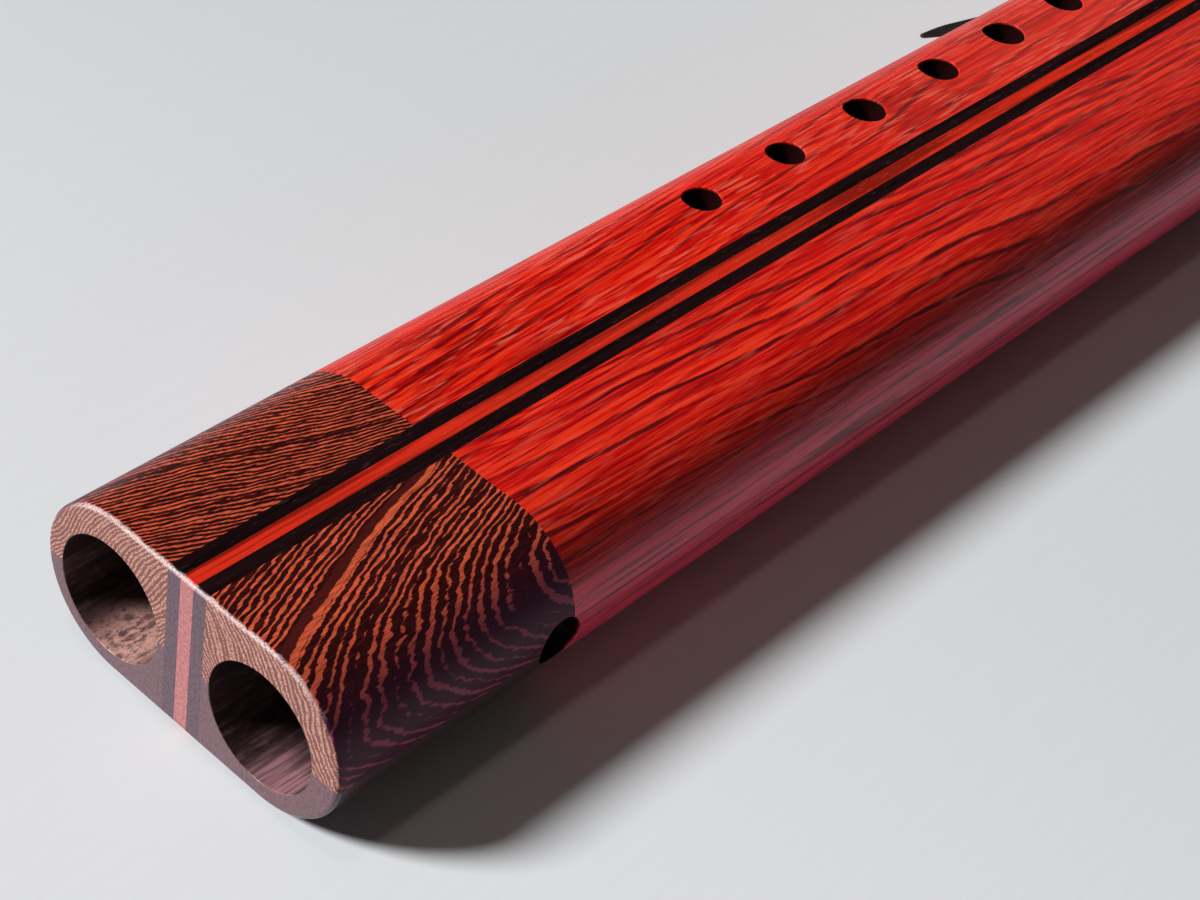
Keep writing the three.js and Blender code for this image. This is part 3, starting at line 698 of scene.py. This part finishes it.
def red_wood(name, side):
    """Red boards, with growth layers that run nearly along X.

    The distance through the layers is bent by three noises. A saw-tooth of it gives bands that
    darken to a thin dark vein, and a noise of it alone gives the finer lines between. Fibres,
    stretched along X, break the lines up into long light and dark threads. Short light flecks
    and dark patches lie over them."""
    woods = bpy.context.scene.flute_woods
    finish = Finish(name)
    boards = RED_BOARDS[side]
    joint, top = FOOT_JOINT / MM, TOP / MM
    depth = finish.along(finish.place, (boards.lean, 1, -0.8 * SIDES[side]))
    bends = [
        (finish.noise((0.010, 0.03, 0.03), detail=2), 12.0),
        (finish.noise((0.05, 0.22, 0.22), detail=3, shift=(4, 1, 1)), 2.0),
        (finish.noise((0.16, 0.9, 0.9), detail=2, roughness=0.6, shift=(2, 8, 4)), 0.7),
    ]
    for noise, amount in bends:
        depth = finish.plus(depth, noise, amount)
    fibres = finish.noise((0.028, 1.15, 1.15), detail=3, roughness=0.72, shift=(7, 2, 5))
    lines = finish.noise_of(depth, 0.8, detail=3)
    saw = finish.math("FRACT", finish.math("DIVIDE", depth, 5.2))
    tone = finish.plus(lines, fibres, 1.2)
    tone = finish.plus(tone, saw, -boards.darkening)
    base = finish.mixed(finish.rise(tone, 0.82, 1.02), woods.red_deep, woods.red)
    warm = finish.rise(finish.x, joint + 90, joint)
    light = finish.rise(finish.plus(tone, warm, 0.06), 1.04, 1.24)
    base = finish.mixed(light, base, woods.red_light)

    threads = finish.noise((0.045, 1.3, 1.3), (0, 0, 1.5), 2, 0.6, (1, 9, 7))
    deep_threads = finish.times(finish.rise(threads, 0.44, 0.37), 0.5)
    base = finish.mixed(deep_threads, base, woods.red_deep)
    light_threads = finish.times(finish.rise(threads, 0.55, 0.63), 0.45)
    base = finish.mixed(light_threads, base, finish.mixed(0.3, woods.red_light, woods.fleck))
    broken = finish.rise(finish.noise((0.02, 0.12, 0.12), detail=2, shift=(9, 1, 4)), 0.44, 0.56)
    edge = finish.rise(finish.math("ABSOLUTE", finish.minus(saw, 0.9)), 0.10, 0.05)
    base = finish.mixed(finish.times(broken, boards.veins, edge), base, woods.red_dark_and_shade)
    dark_tones = finish.times(finish.rise(tone, 0.82, 0.66), 0.65)
    base = finish.mixed(dark_tones, base, woods.red_dark_and_shade)
    blots = finish.noise((0.035, 0.20, 0.20), detail=4, roughness=0.6, shift=(2, 7, 2))
    blots = finish.times(finish.rise(blots, 0.54, 0.62), boards.blots)
    blot_wood = finish.mixed(finish.rise(tone, 0.9, 1.1), woods.red_dark_and_shade, woods.red_deep)
    base = finish.mixed(blots, base, blot_wood)

    # Painted highlight: the boards turn paler and pinker past the first holes.
    far = finish.rise(finish.x, joint + 60, joint + 250)
    base = finish.mixed(finish.times(far, boards.far), base, woods.red_far_highlight)
    # Painted shade: the boards darken towards their sides, more so past the first holes.
    shade_depth = finish.plus(boards.turned, far, boards.painted_shade_far)
    turned = finish.times(finish.rise(finish.z, top - 0.8, top - 5), shade_depth)
    base = finish.mixed(turned, base, woods.red_dark_and_shade)
    # Painted sheen on the sides: purplish red with dark grain lines, standing in for the floor's
    # reflection in the lacquer.
    lines = finish.noise((0.02, 1.2, 1.2), detail=4, roughness=0.7, shift=(3, 6, 1))
    lines = finish.rise(lines, 0.38, 0.52)
    painted_sheen_wood = finish.mixed(lines, toned(woods.red_painted_sheen, 0.16), woods.red_painted_sheen)
    sides = finish.times(finish.rise(finish.z, top - 4, top - 11), boards.sides)
    base = finish.mixed(sides, base, painted_sheen_wood)

    flecks = finish.noise((0.11, 1.6, 1.6), (0, 0, boards.slant), detail=2, shift=(3, 3, 3))
    patches = finish.rise(finish.noise((0.03, 0.12, 0.12), detail=2, shift=(6, 7, 2)), 0.36, 0.56)
    bright = finish.times(finish.rise(flecks, 0.54, 0.66), patches, boards.flecks)
    base = finish.mixed(bright, base, woods.fleck)
    # Painted shade deep in the holes.
    base = finish.mixed(inside(finish), base, woods.red_hole_shade)
    normal = finish.worn(finish.bump(fibres, 0.2 * MM, 0.6))
    rough = finish.plus(0.32, fibres, 0.14)
    coat = woods.lacquer * boards.lacquer
    return finish.done(
        base, rough, normal, coat, woods.lacquer_roughness, specular=boards.specular)


def strip_wood(name, side_colour, end_colour, fleck_colour):
    """Thin strips: even colour with fine streaks along X and small flecks."""
    woods = bpy.context.scene.flute_woods
    finish = Finish(name)
    finish.bend((0.03, 0.1, 0.1), (0, 1.2, 1.2))
    streaks = finish.noise((0.03, 1.6, 1.6), detail=5, roughness=0.65)
    base = finish.mixed(finish.rise(streaks, 0.36, 0.6), toned(side_colour, 0.55), side_colour)
    slow = finish.noise((0.016, 0.5, 0.5), (0, 0, 2), detail=2, shift=(5, 1, 1))
    base = finish.mixed(finish.rise(slow, 0.50, 0.36), base, toned(side_colour, 0.34))
    flecks = finish.noise((0.3, 3.4, 3.4), (0, 0, -6), detail=2, shift=(7, 7, 7))
    flecks = finish.times(finish.rise(flecks, 0.62, 0.74), woods.strip_flecks)
    base = finish.mixed(flecks, base, fleck_colour)
    grains = finish.noise((1.8, 1.8, 1.8), detail=4, roughness=0.7)
    end = finish.mixed(finish.rise(grains, 0.38, 0.60), toned(end_colour, 0.62), end_colour)
    # rubbed paints a highlight along the foot end's upper edge.
    base = rubbed(finish, finish.mixed(near_foot_face(finish), base, end))
    normal = finish.bump(grains, 0.02 * MM, 0.4)
    return finish.done(base, 0.36, normal, 0.05, woods.lacquer_roughness, specular=0.18)


def leather(name):
    """Black leather lace: fine pebble grain with slow wear."""
    lace = bpy.context.scene.flute_lace
    finish = Finish(name)
    grain = finish.noise((3.2, 3.2, 3.2), detail=4, roughness=0.6)
    wear = finish.noise((0.25, 0.25, 0.25), detail=3)
    worn = finish.rise(finish.plus(grain, wear, 0.8), 0.85, 1.15)
    base = finish.mixed(worn, lace.leather, lace.leather_edge)
    normal = finish.bump(grain, 0.08 * MM, 0.6)
    rough = finish.plus(0.42, grain, 0.25)
    return finish.done(base, rough, normal)


# Pieces

# How near two places count as one, on a plane and as doubles, and what belongs to a bore's rim
SAME_PLACE = 0.02 * MM
DOUBLES = 0.06 * MM
RIM_RADIUS = 1.03 * BORE_RADIUS
# Angles up to which faces are joined, and from which an arris is eased and shaded sharp
FLAT_ANGLE = radians(0.4)
ARRIS_ANGLE = radians(35)
SHARP_ANGLE = radians(32)


def easing(edge):
    """How much of the arris width an edge gets: none beside a glue plane, all of it round
    the foot end, and the rims' share at holes, bores, cuts and the mouth end."""
    planes = [(0, FOOT_JOINT), (0, HEAD_JOINT), (2, SEAM)] + [(1, line) for line in STRIP_LINES]
    for face in edge.link_faces:
        middle = face.calc_center_median()
        for axis, level in planes:
            if abs(face.normal[axis]) > 0.999 and abs(middle[axis] - level) < SAME_PLACE:
                return 0
    place = (edge.verts[0].co + edge.verts[1].co) / 2
    at_foot = place.x < FOOT_FACE + SAME_PLACE
    from_bore = min(abs(complex(place.y - y, place.z - SEAM)) for y in BORE_Y.values())
    outline = at_foot and from_bore >= RIM_RADIUS
    return 1 if outline else bpy.context.scene.flute_woods.rim_share


def finished_wood(node, body, slot, material, sanded=False):
    """A copy of one solid with doubles merged, flat faces joined and exposed arrises eased.

    A sanded piece gets an even skin instead, whose edges are all rubbed round."""
    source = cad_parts[node].data
    places = np.empty(len(source.vertices) * 3)
    source.vertices.foreach_get("co", places)
    corners = np.empty(len(source.loops), np.int32)
    source.loops.foreach_get("vertex_index", corners)
    mesh = bpy.data.meshes.new(f"finished_{node}")
    mesh.from_pydata(places.reshape(-1, 3).tolist(), [], corners.reshape(-1, 3).tolist())
    shape = bmesh.new()
    shape.from_mesh(mesh)
    bmesh.ops.remove_doubles(shape, verts=shape.verts, dist=DOUBLES)
    bmesh.ops.dissolve_limit(
        shape, angle_limit=FLAT_ANGLE, verts=shape.verts, edges=shape.edges)
    shape.normal_update()
    weights = shape.edges.layers.float.new("bevel_weight_edge")
    for edge in shape.edges:
        if len(edge.link_faces) == 2 and edge.calc_face_angle(0) > ARRIS_ANGLE:
            edge[weights] = easing(edge)
    shape.to_mesh(mesh)
    shape.free()
    mesh.polygons.foreach_set("use_smooth", np.ones(len(mesh.polygons), bool))
    mesh.set_sharp_from_angle(angle=SHARP_ANGLE)
    piece = bpy.data.objects.new(f"finished_{node}", mesh)
    bpy.context.scene.collection.objects.link(piece)
    if sanded:
        skin = piece.modifiers.new("even skin", "REMESH")
        skin.mode = "VOXEL"
        skin.voxel_size = bpy.context.scene.flute_woods.sanding / 2
        skin.use_smooth_shade = True
        rub = piece.modifiers.new("rubbed round", "SMOOTH")
        rub.factor = 0.5
        rub.iterations = 12
    else:
        ease = piece.modifiers.new("eased arrises", "BEVEL")
        ease.limit_method = "WEIGHT"
        ease.width = bpy.context.scene.flute_woods.arris
        ease.segments = 4
        ease.use_clamp_overlap = False
        even = piece.modifiers.new("even shading", "WEIGHTED_NORMAL")
        even.keep_sharp = True
    dress(piece, body, slot, material, node)


def dress(piece, body, slot, material, *nodes):
    """Give a piece its material and its body, and hide the nodes that it stands for. slot is not
    used.
    """
    piece.data.materials.clear()
    piece.data.materials.append(material)
    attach(piece, body)
    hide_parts(*nodes)


def lace_loop():
    """The closed way of the lace round body and block, as (y, z) places with outward ways.

    It goes over four rounds, two of the body and two of the block's notch, each a lace's
    half thickness and clearance wider, joined by the straight lines that touch them."""
    lace = bpy.context.scene.flute_lace
    gap = lace.clearance + lace.thickness / 2
    notch_z = BLOCK_HIGH.z - NOTCH_DEPTH - NOTCH_RADIUS
    half = (BLOCK_HIGH.y - BLOCK_LOW.y) / 2 - NOTCH_RADIUS
    middle = (OUTER_Y["melody"] + OUTER_Y["drone"]) / 2
    body_y = {side: OUTER_Y[side] - SIDES[side] * SIDE_RADIUS for side in SIDES}
    way = complex(half - (body_y["melody"] - middle), notch_z - MIDDLE_Z)
    touch = np.angle(way) - np.arccos((SIDE_RADIUS - NOTCH_RADIUS) / abs(way))
    places, outs = [], []

    def round_over(side, y, z, radius, start, end):
        angles = np.linspace(start, end, 14)
        out = np.stack([SIDES[side] * np.cos(angles), np.sin(angles)], axis=1)
        places.append(np.array([y, z]) + (radius + gap) * out)
        outs.append(out)

    round_over("melody", body_y["melody"], MIDDLE_Z, SIDE_RADIUS, 0, -pi / 2)
    round_over("drone", body_y["drone"], MIDDLE_Z, SIDE_RADIUS, -pi / 2, touch)
    round_over("drone", middle - half, notch_z, NOTCH_RADIUS, touch, pi / 2)
    round_over("melody", middle + half, notch_z, NOTCH_RADIUS, pi / 2, touch)
    round_over("melody", body_y["melody"], MIDDLE_Z, SIDE_RADIUS, touch, 0)
    return np.concatenate(places), np.concatenate(outs)


def make_winding(material):
    """The wound lace: the loop's way repeated, moving on by one pitch in each turn.

    Near both ends it rises off the middle pass to go under the knot."""
    lace = bpy.context.scene.flute_lace
    loop, outs = lace_loop()
    runs = np.r_[0, np.cumsum(np.linalg.norm(np.diff(loop, axis=0), axis=1))]
    total = runs[-1] + np.linalg.norm(loop[0] - loop[-1])
    steps = np.linspace(0, lace.turns * total, 150 * lace.turns)
    here = np.mod(steps, total)
    here[-1] = total
    closed_runs = np.r_[runs, total]
    y, z, out_y, out_z = (
        np.interp(here, closed_runs, np.r_[values, values[0]])
        for values in (loop[:, 0], loop[:, 1], outs[:, 0], outs[:, 1]))
    out = unit(np.stack([out_y, out_z], axis=1))
    middle_x = (KNOT_LOW.x + KNOT_HIGH.x) / 2
    x = middle_x + lace.pitch * (steps / total - lace.turns / 2)
    from_end = np.minimum(steps, steps[-1] - steps)
    lift, lift_start, lift_run = 2.6 * MM, 18 * MM, 12 * MM
    rise = smooth_step((lift_start - from_end) / lift_run) * lift
    path = np.stack([x, y + out[:, 0] * rise, z + out[:, 1] * rise], axis=1)
    through = np.stack([np.zeros(len(out)), out[:, 0], out[:, 1]], axis=1)
    grid = carried(path, through, lace.width, lace.thickness)
    piece = new_piece("lace_winding_leather", [(grid, False)])
    dress(piece, "flute", "leather", material, "lace_winding")


# The knot's loops, each as its lean in degrees, its place along X and its share of the depth
KNOT_LOOPS = ((24, -0.9 * MM, 1.0), (-26, 1.0 * MM, 0.82))
# Half of each strand in the knot: shares of the reach along X, and millimetres out and up
KNOT_STRAND = ((1, 0, 0), (0.6, 0.2, 0.2), (0, 0, 0.6), (-0.25, -0.9, 1.6))


def make_knot(material):
    """The knot: two leaning loops of lace round the strands that come in and go out.

    A loop is an ellipse in a plane that leans about Y: the place at angle a is the middle +
    half depth cos(a) along Y + half height sin(a) along the leaning upright."""
    lace = bpy.context.scene.flute_lace
    middle = np.array((KNOT_LOW + KNOT_HIGH) / 2)
    size = np.array(KNOT_HIGH - KNOT_LOW)
    parts = []
    angles = np.linspace(0, 2 * pi, 48, endpoint=False)
    for lean, along, deep in KNOT_LOOPS:
        upright = np.array([sin(radians(lean)), 0, cos(radians(lean))])
        half_depth = (size[1] - lace.thickness) / 2 * deep
        half_height = (size[2] - lace.thickness) / 2 * (0.7 + 0.3 * deep)
        out = np.cos(angles)[:, None] * np.array([0, 1, 0]) / half_depth
        out = unit(out + np.sin(angles)[:, None] * upright / half_height)
        path = (middle + np.array([along, 0, 0])
                + np.cos(angles)[:, None] * np.array([0, half_depth, 0])
                + np.sin(angles)[:, None] * upright * half_height)
        parts.append((carried(path, out, lace.width, lace.thickness, closed=True), True))
    reach = size[0] / 2 + 0.6 * MM
    for sign in (-1, 1):
        path = spline(middle + np.array(KNOT_STRAND) * (sign * reach, MM, sign * MM), 6)
        through = np.broadcast_to([0.0, 1.0, 0.0], path.shape)
        parts.append((carried(path, through, lace.width * 0.98, lace.thickness), False))
    piece = new_piece("lace_knot_leather", parts)
    dress(piece, "flute", "leather", material, "lace_knot")
    return piece


# Free tails of the lace, in millimetres: along from the knot's face, out
# from the knot's middle, and height over the plane that the flute rests on. None is the
# knot's own height.
TAIL_ROUTES = {
    "foot": [
        (0, 0, None), (6, 0, None), (12, 0.8, 15.6), (18, 2.2, 12.4), (24, 3.8, 8.6),
        (30, 5.2, 5), (36.5, 6.5, 2.2), (44, 7.6, 0.85), (53, 8.6, 0.6), (66, 9.2, 0.6),
        (80, 9, 0.6), (94, 8.4, 0.6), (108, 8.4, 0.6), (120, 9.6, 0.6), (131, 11.8, 0.6),
        (141, 14.3, 0.6), (151, 17, 0.6)],
    "head": [
        (0, 0, None), (6, 0, None), (12, 0.8, 15.6), (18, 2.2, 12.4), (24, 3.8, 8.6),
        (30, 5.2, 5), (36.5, 6.5, 2.2), (44, 7.6, 0.85), (53, 8.4, 0.6), (64, 8.6, 0.6),
        (76, 8, 0.6), (88, 6.6, 0.6), (99, 4.6, 0.6), (109, 2.2, 0.6)],
}
# Share of a tail over which it turns flat, and its cut point's least width and thickness
TAIL_DROP_SHARE = 0.3
TIP_WIDTH_SHARE = 0.12
TIP_THICKNESS_SHARE = 0.75


def make_tail(end, material):
    """A free tail: flat beside the body at the knot, turned over to lie flat, cut to a point."""
    lace = bpy.context.scene.flute_lace
    sign = -1 if end == "foot" else 1
    face = (KNOT_LOW.x if end == "foot" else KNOT_HIGH.x) + sign * lace.clearance
    middle_y = (KNOT_LOW.y + KNOT_HIGH.y) / 2
    middle_z = (KNOT_LOW.z + KNOT_HIGH.z) / 2
    points = [
        (face + sign * along * MM, middle_y + out * MM, middle_z if height is None else height * MM)
        for along, out, height in TAIL_ROUTES[end]]
    path = even_steps(spline(points, 24), 160)
    total = run_length(path)
    place = np.linspace(0, 1, len(path))
    lying = smooth_step(place / TAIL_DROP_SHARE)[:, None]
    through = unit((1 - lying) * np.array([0.0, 1, 0]) + lying * np.array([0.0, 0, 1]))
    to_tip = (1 - place) * total
    taper = np.clip(to_tip / lace.point, 0, 1)
    width = lace.width * (TIP_WIDTH_SHARE + (1 - TIP_WIDTH_SHARE) * np.sin(taper * pi / 2))
    thickness = lace.thickness * (TIP_THICKNESS_SHARE + (1 - TIP_THICKNESS_SHARE) * taper)
    grid = carried(path, through, width, thickness)
    piece = new_piece(f"lace_tail_{end}_leather", [(grid, False)])
    dress(piece, "flute", "leather", material, f"lace_tail_to_{end}")


def make_camera(stage):
    """The camera at the photograph's place and angle."""
    right = np.array(stage.camera_right)
    back = np.array(stage.camera_back)
    up = np.cross(back, right)
    camera = bpy.data.objects.new("camera", bpy.data.cameras.new("camera"))
    camera.data.lens = stage.lens
    camera.data.sensor_width = 36
    camera.data.clip_start = 0.01
    turn = Matrix(np.stack([right, up, back], axis=1).tolist()).to_4x4()
    camera.matrix_world = Matrix.Translation(stage.camera_place) @ turn
    bpy.context.scene.collection.objects.link(camera)
    bpy.context.scene.camera = camera


def make_light(name, way, width, strength, tint=(1, 1, 1)):
    """Soft parallel light from one direction, which lights the floor evenly."""
    light = bpy.data.lights.new(name, "SUN")
    light.angle = width
    light.energy = strength
    light.color = tint
    way = unit(np.array(way))
    side = unit(np.cross([0, 1, 0], way))
    item = bpy.data.objects.new(name, light)
    item.matrix_world = Matrix(np.stack([side, np.cross(way, side), way], axis=1).tolist()).to_4x4()
    bpy.context.scene.collection.objects.link(item)


def make_floor(stage):
    """A flat painted floor under the flute, with very slow waves in its paint. It is lighter
    before the foot end and darker beside the boards, as painted falloff of the light.
    """
    half, face = stage.floor_half, FOOT_FACE / MM
    mesh = bpy.data.meshes.new("floor")
    mesh.from_pydata([(-half, -half, 0), (half, -half, 0), (half, half, 0), (-half, half, 0)], [],
                     [(0, 1, 2, 3)])
    floor = bpy.data.objects.new("floor", mesh)
    bpy.context.scene.collection.objects.link(floor)
    finish = Finish("painted floor")
    ripple = finish.noise((0.05, 0.4, 0.4), (0, 0, 25), detail=4)
    normal = finish.bump(ripple, 0.12 * MM, 0.4)
    # Painted light falloff: lighter before the foot end, darker beside the boards.
    beside = finish.rise(finish.x, face - 40, face + 200)
    base = finish.mixed(beside, stage.floor, stage.floor_dimmed)
    mesh.materials.append(finish.done(base, 0.6, normal, specular=0.2))


def make_sky(stage):
    """Even dim light from all sides. The camera sees the pale backdrop in its place."""
    world = bpy.data.worlds.new("even light")
    world.use_nodes = True
    nodes, links = world.node_tree.nodes, world.node_tree.links
    light = nodes["Background"]
    light.inputs["Color"].default_value = (*stage.sky_tint, 1)
    light.inputs["Strength"].default_value = stage.sky
    seen = nodes.new("ShaderNodeBackground")
    seen.inputs["Color"].default_value = (*stage.backdrop, 1)
    choice = nodes.new("ShaderNodeMixShader")
    links.new(nodes.new("ShaderNodeLightPath").outputs["Is Camera Ray"], choice.inputs["Fac"])
    links.new(light.outputs[0], choice.inputs[1])
    links.new(seen.outputs[0], choice.inputs[2])
    links.new(choice.outputs[0], nodes["World Output"].inputs["Surface"])
    bpy.context.scene.world = world


# Operators

class FLUTE_OT_stage(bpy.types.Operator):
    """Set up the camera, floor and lights"""

    bl_idname = "flute.stage"
    bl_label = "Stage"

    def execute(self, context):
        stage = context.scene.flute_stage
        make_camera(stage)
        make_floor(stage)
        make_sky(stage)
        make_light("key light", stage.key_from, stage.key_width, stage.key_strength)
        make_light("upper light", stage.top_from, stage.top_width, stage.top_strength,
                   stage.top_tint)
        context.scene.view_settings.view_transform = "Standard"
        return {"FINISHED"}


class FLUTE_OT_lace(bpy.types.Operator):
    """Make the lace: its winding, its knot and its two free tails"""

    bl_idname = "flute.lace"
    bl_label = "Lace"

    def execute(self, context):
        material = leather("black leather")
        knot = make_knot(material)
        for end in ("foot", "head"):
            make_tail(end, material)
        make_winding(material)
        return {"FINISHED"}


class FLUTE_OT_end_blocks(bpy.types.Operator):
    """Finish the blocks at the foot and at the mouth end"""

    bl_idname = "flute.end_blocks"
    bl_label = "End Blocks"

    def execute(self, context):
        woods = context.scene.flute_woods
        brown = brown_wood("brown wood")
        upper = {
            "melody": striped_wood("striped wood melody", "melody", woods.melody_spacing),
            "drone": striped_wood(
                "striped wood drone", "drone", woods.drone_spacing, woods.plain_band),
        }
        for end in ("foot", "head"):
            for side in SIDES:
                finished_wood(f"upper_{end}_block_{side}", "flute", "striped_wood", upper[side])
                finished_wood(f"lower_{end}_block_{side}", "flute", "brown_wood", brown)
        return {"FINISHED"}


class FLUTE_OT_boards(bpy.types.Operator):
    """Finish the four red boards"""

    bl_idname = "flute.boards"
    bl_label = "Boards"

    def execute(self, context):
        for side in SIDES:
            material = red_wood(f"red wood {side}", side)
            for level in ("upper", "lower"):
                finished_wood(f"{level}_board_{side}", "flute", "red_wood", material)
        return {"FINISHED"}


class FLUTE_OT_strips(bpy.types.Operator):
    """Finish the black and red strips"""

    bl_idname = "flute.strips"
    bl_label = "Strips"

    def execute(self, context):
        woods = context.scene.flute_woods
        black = strip_wood(
            "black strip wood", woods.black, woods.black_end, woods.black_fleck)
        red = strip_wood(
            "red strip wood", woods.strip_red, woods.strip_red_end, woods.strip_red_fleck)
        for level in ("upper", "lower"):
            for side in SIDES:
                finished_wood(f"{level}_black_strip_{side}", "flute", "black_strip", black)
            finished_wood(f"{level}_red_strip", "flute", "red_strip", red)
        return {"FINISHED"}


class FLUTE_OT_block(bpy.types.Operator):
    """Finish the block over the flues"""

    bl_idname = "flute.block"
    bl_label = "Block"

    def execute(self, context):
        woods = context.scene.flute_woods
        wood = striped_wood("striped wood block", "drone", woods.drone_spacing, body=False)
        finished_wood("block", "block", "striped_wood", wood, sanded=True)
        return {"FINISHED"}


class FLUTE_PT_looks(bpy.types.Panel):
    """Pieces and settings of the flute"""

    bl_idname = "FLUTE_PT_looks"
    bl_label = "Flute"
    bl_space_type = "VIEW_3D"
    bl_region_type = "UI"
    bl_category = "Flute"

    def draw(self, context):
        for operator in OPERATORS:
            self.layout.operator(operator.bl_idname)
        for setting in SETTINGS:
            group = getattr(context.scene, setting)
            box = self.layout.box()
            for name in group.bl_rna.properties.keys():
                if name not in ("rna_type", "name"):
                    box.prop(group, name)


SETTINGS = {"flute_woods": FluteWoods, "flute_lace": FluteLace, "flute_stage": FluteStage}
OPERATORS = (
    FLUTE_OT_stage, FLUTE_OT_lace, FLUTE_OT_end_blocks, FLUTE_OT_boards, FLUTE_OT_strips,
    FLUTE_OT_block)
CLASSES = (*SETTINGS.values(), *OPERATORS, FLUTE_PT_looks)


def register():
    for cls in CLASSES:
        bpy.utils.register_class(cls)
    for name, group in SETTINGS.items():
        setattr(bpy.types.Scene, name, PointerProperty(type=group))


def unregister():
    for name in SETTINGS:
        delattr(bpy.types.Scene, name)
    for cls in reversed(CLASSES):
        bpy.utils.unregister_class(cls)


def main():
    register()
    bpy.ops.flute.stage()
    bpy.ops.flute.lace()
    bpy.ops.flute.end_blocks()
    bpy.ops.flute.boards()
    bpy.ops.flute.strips()
    bpy.ops.flute.block()


if __name__ == "__main__":
    main()
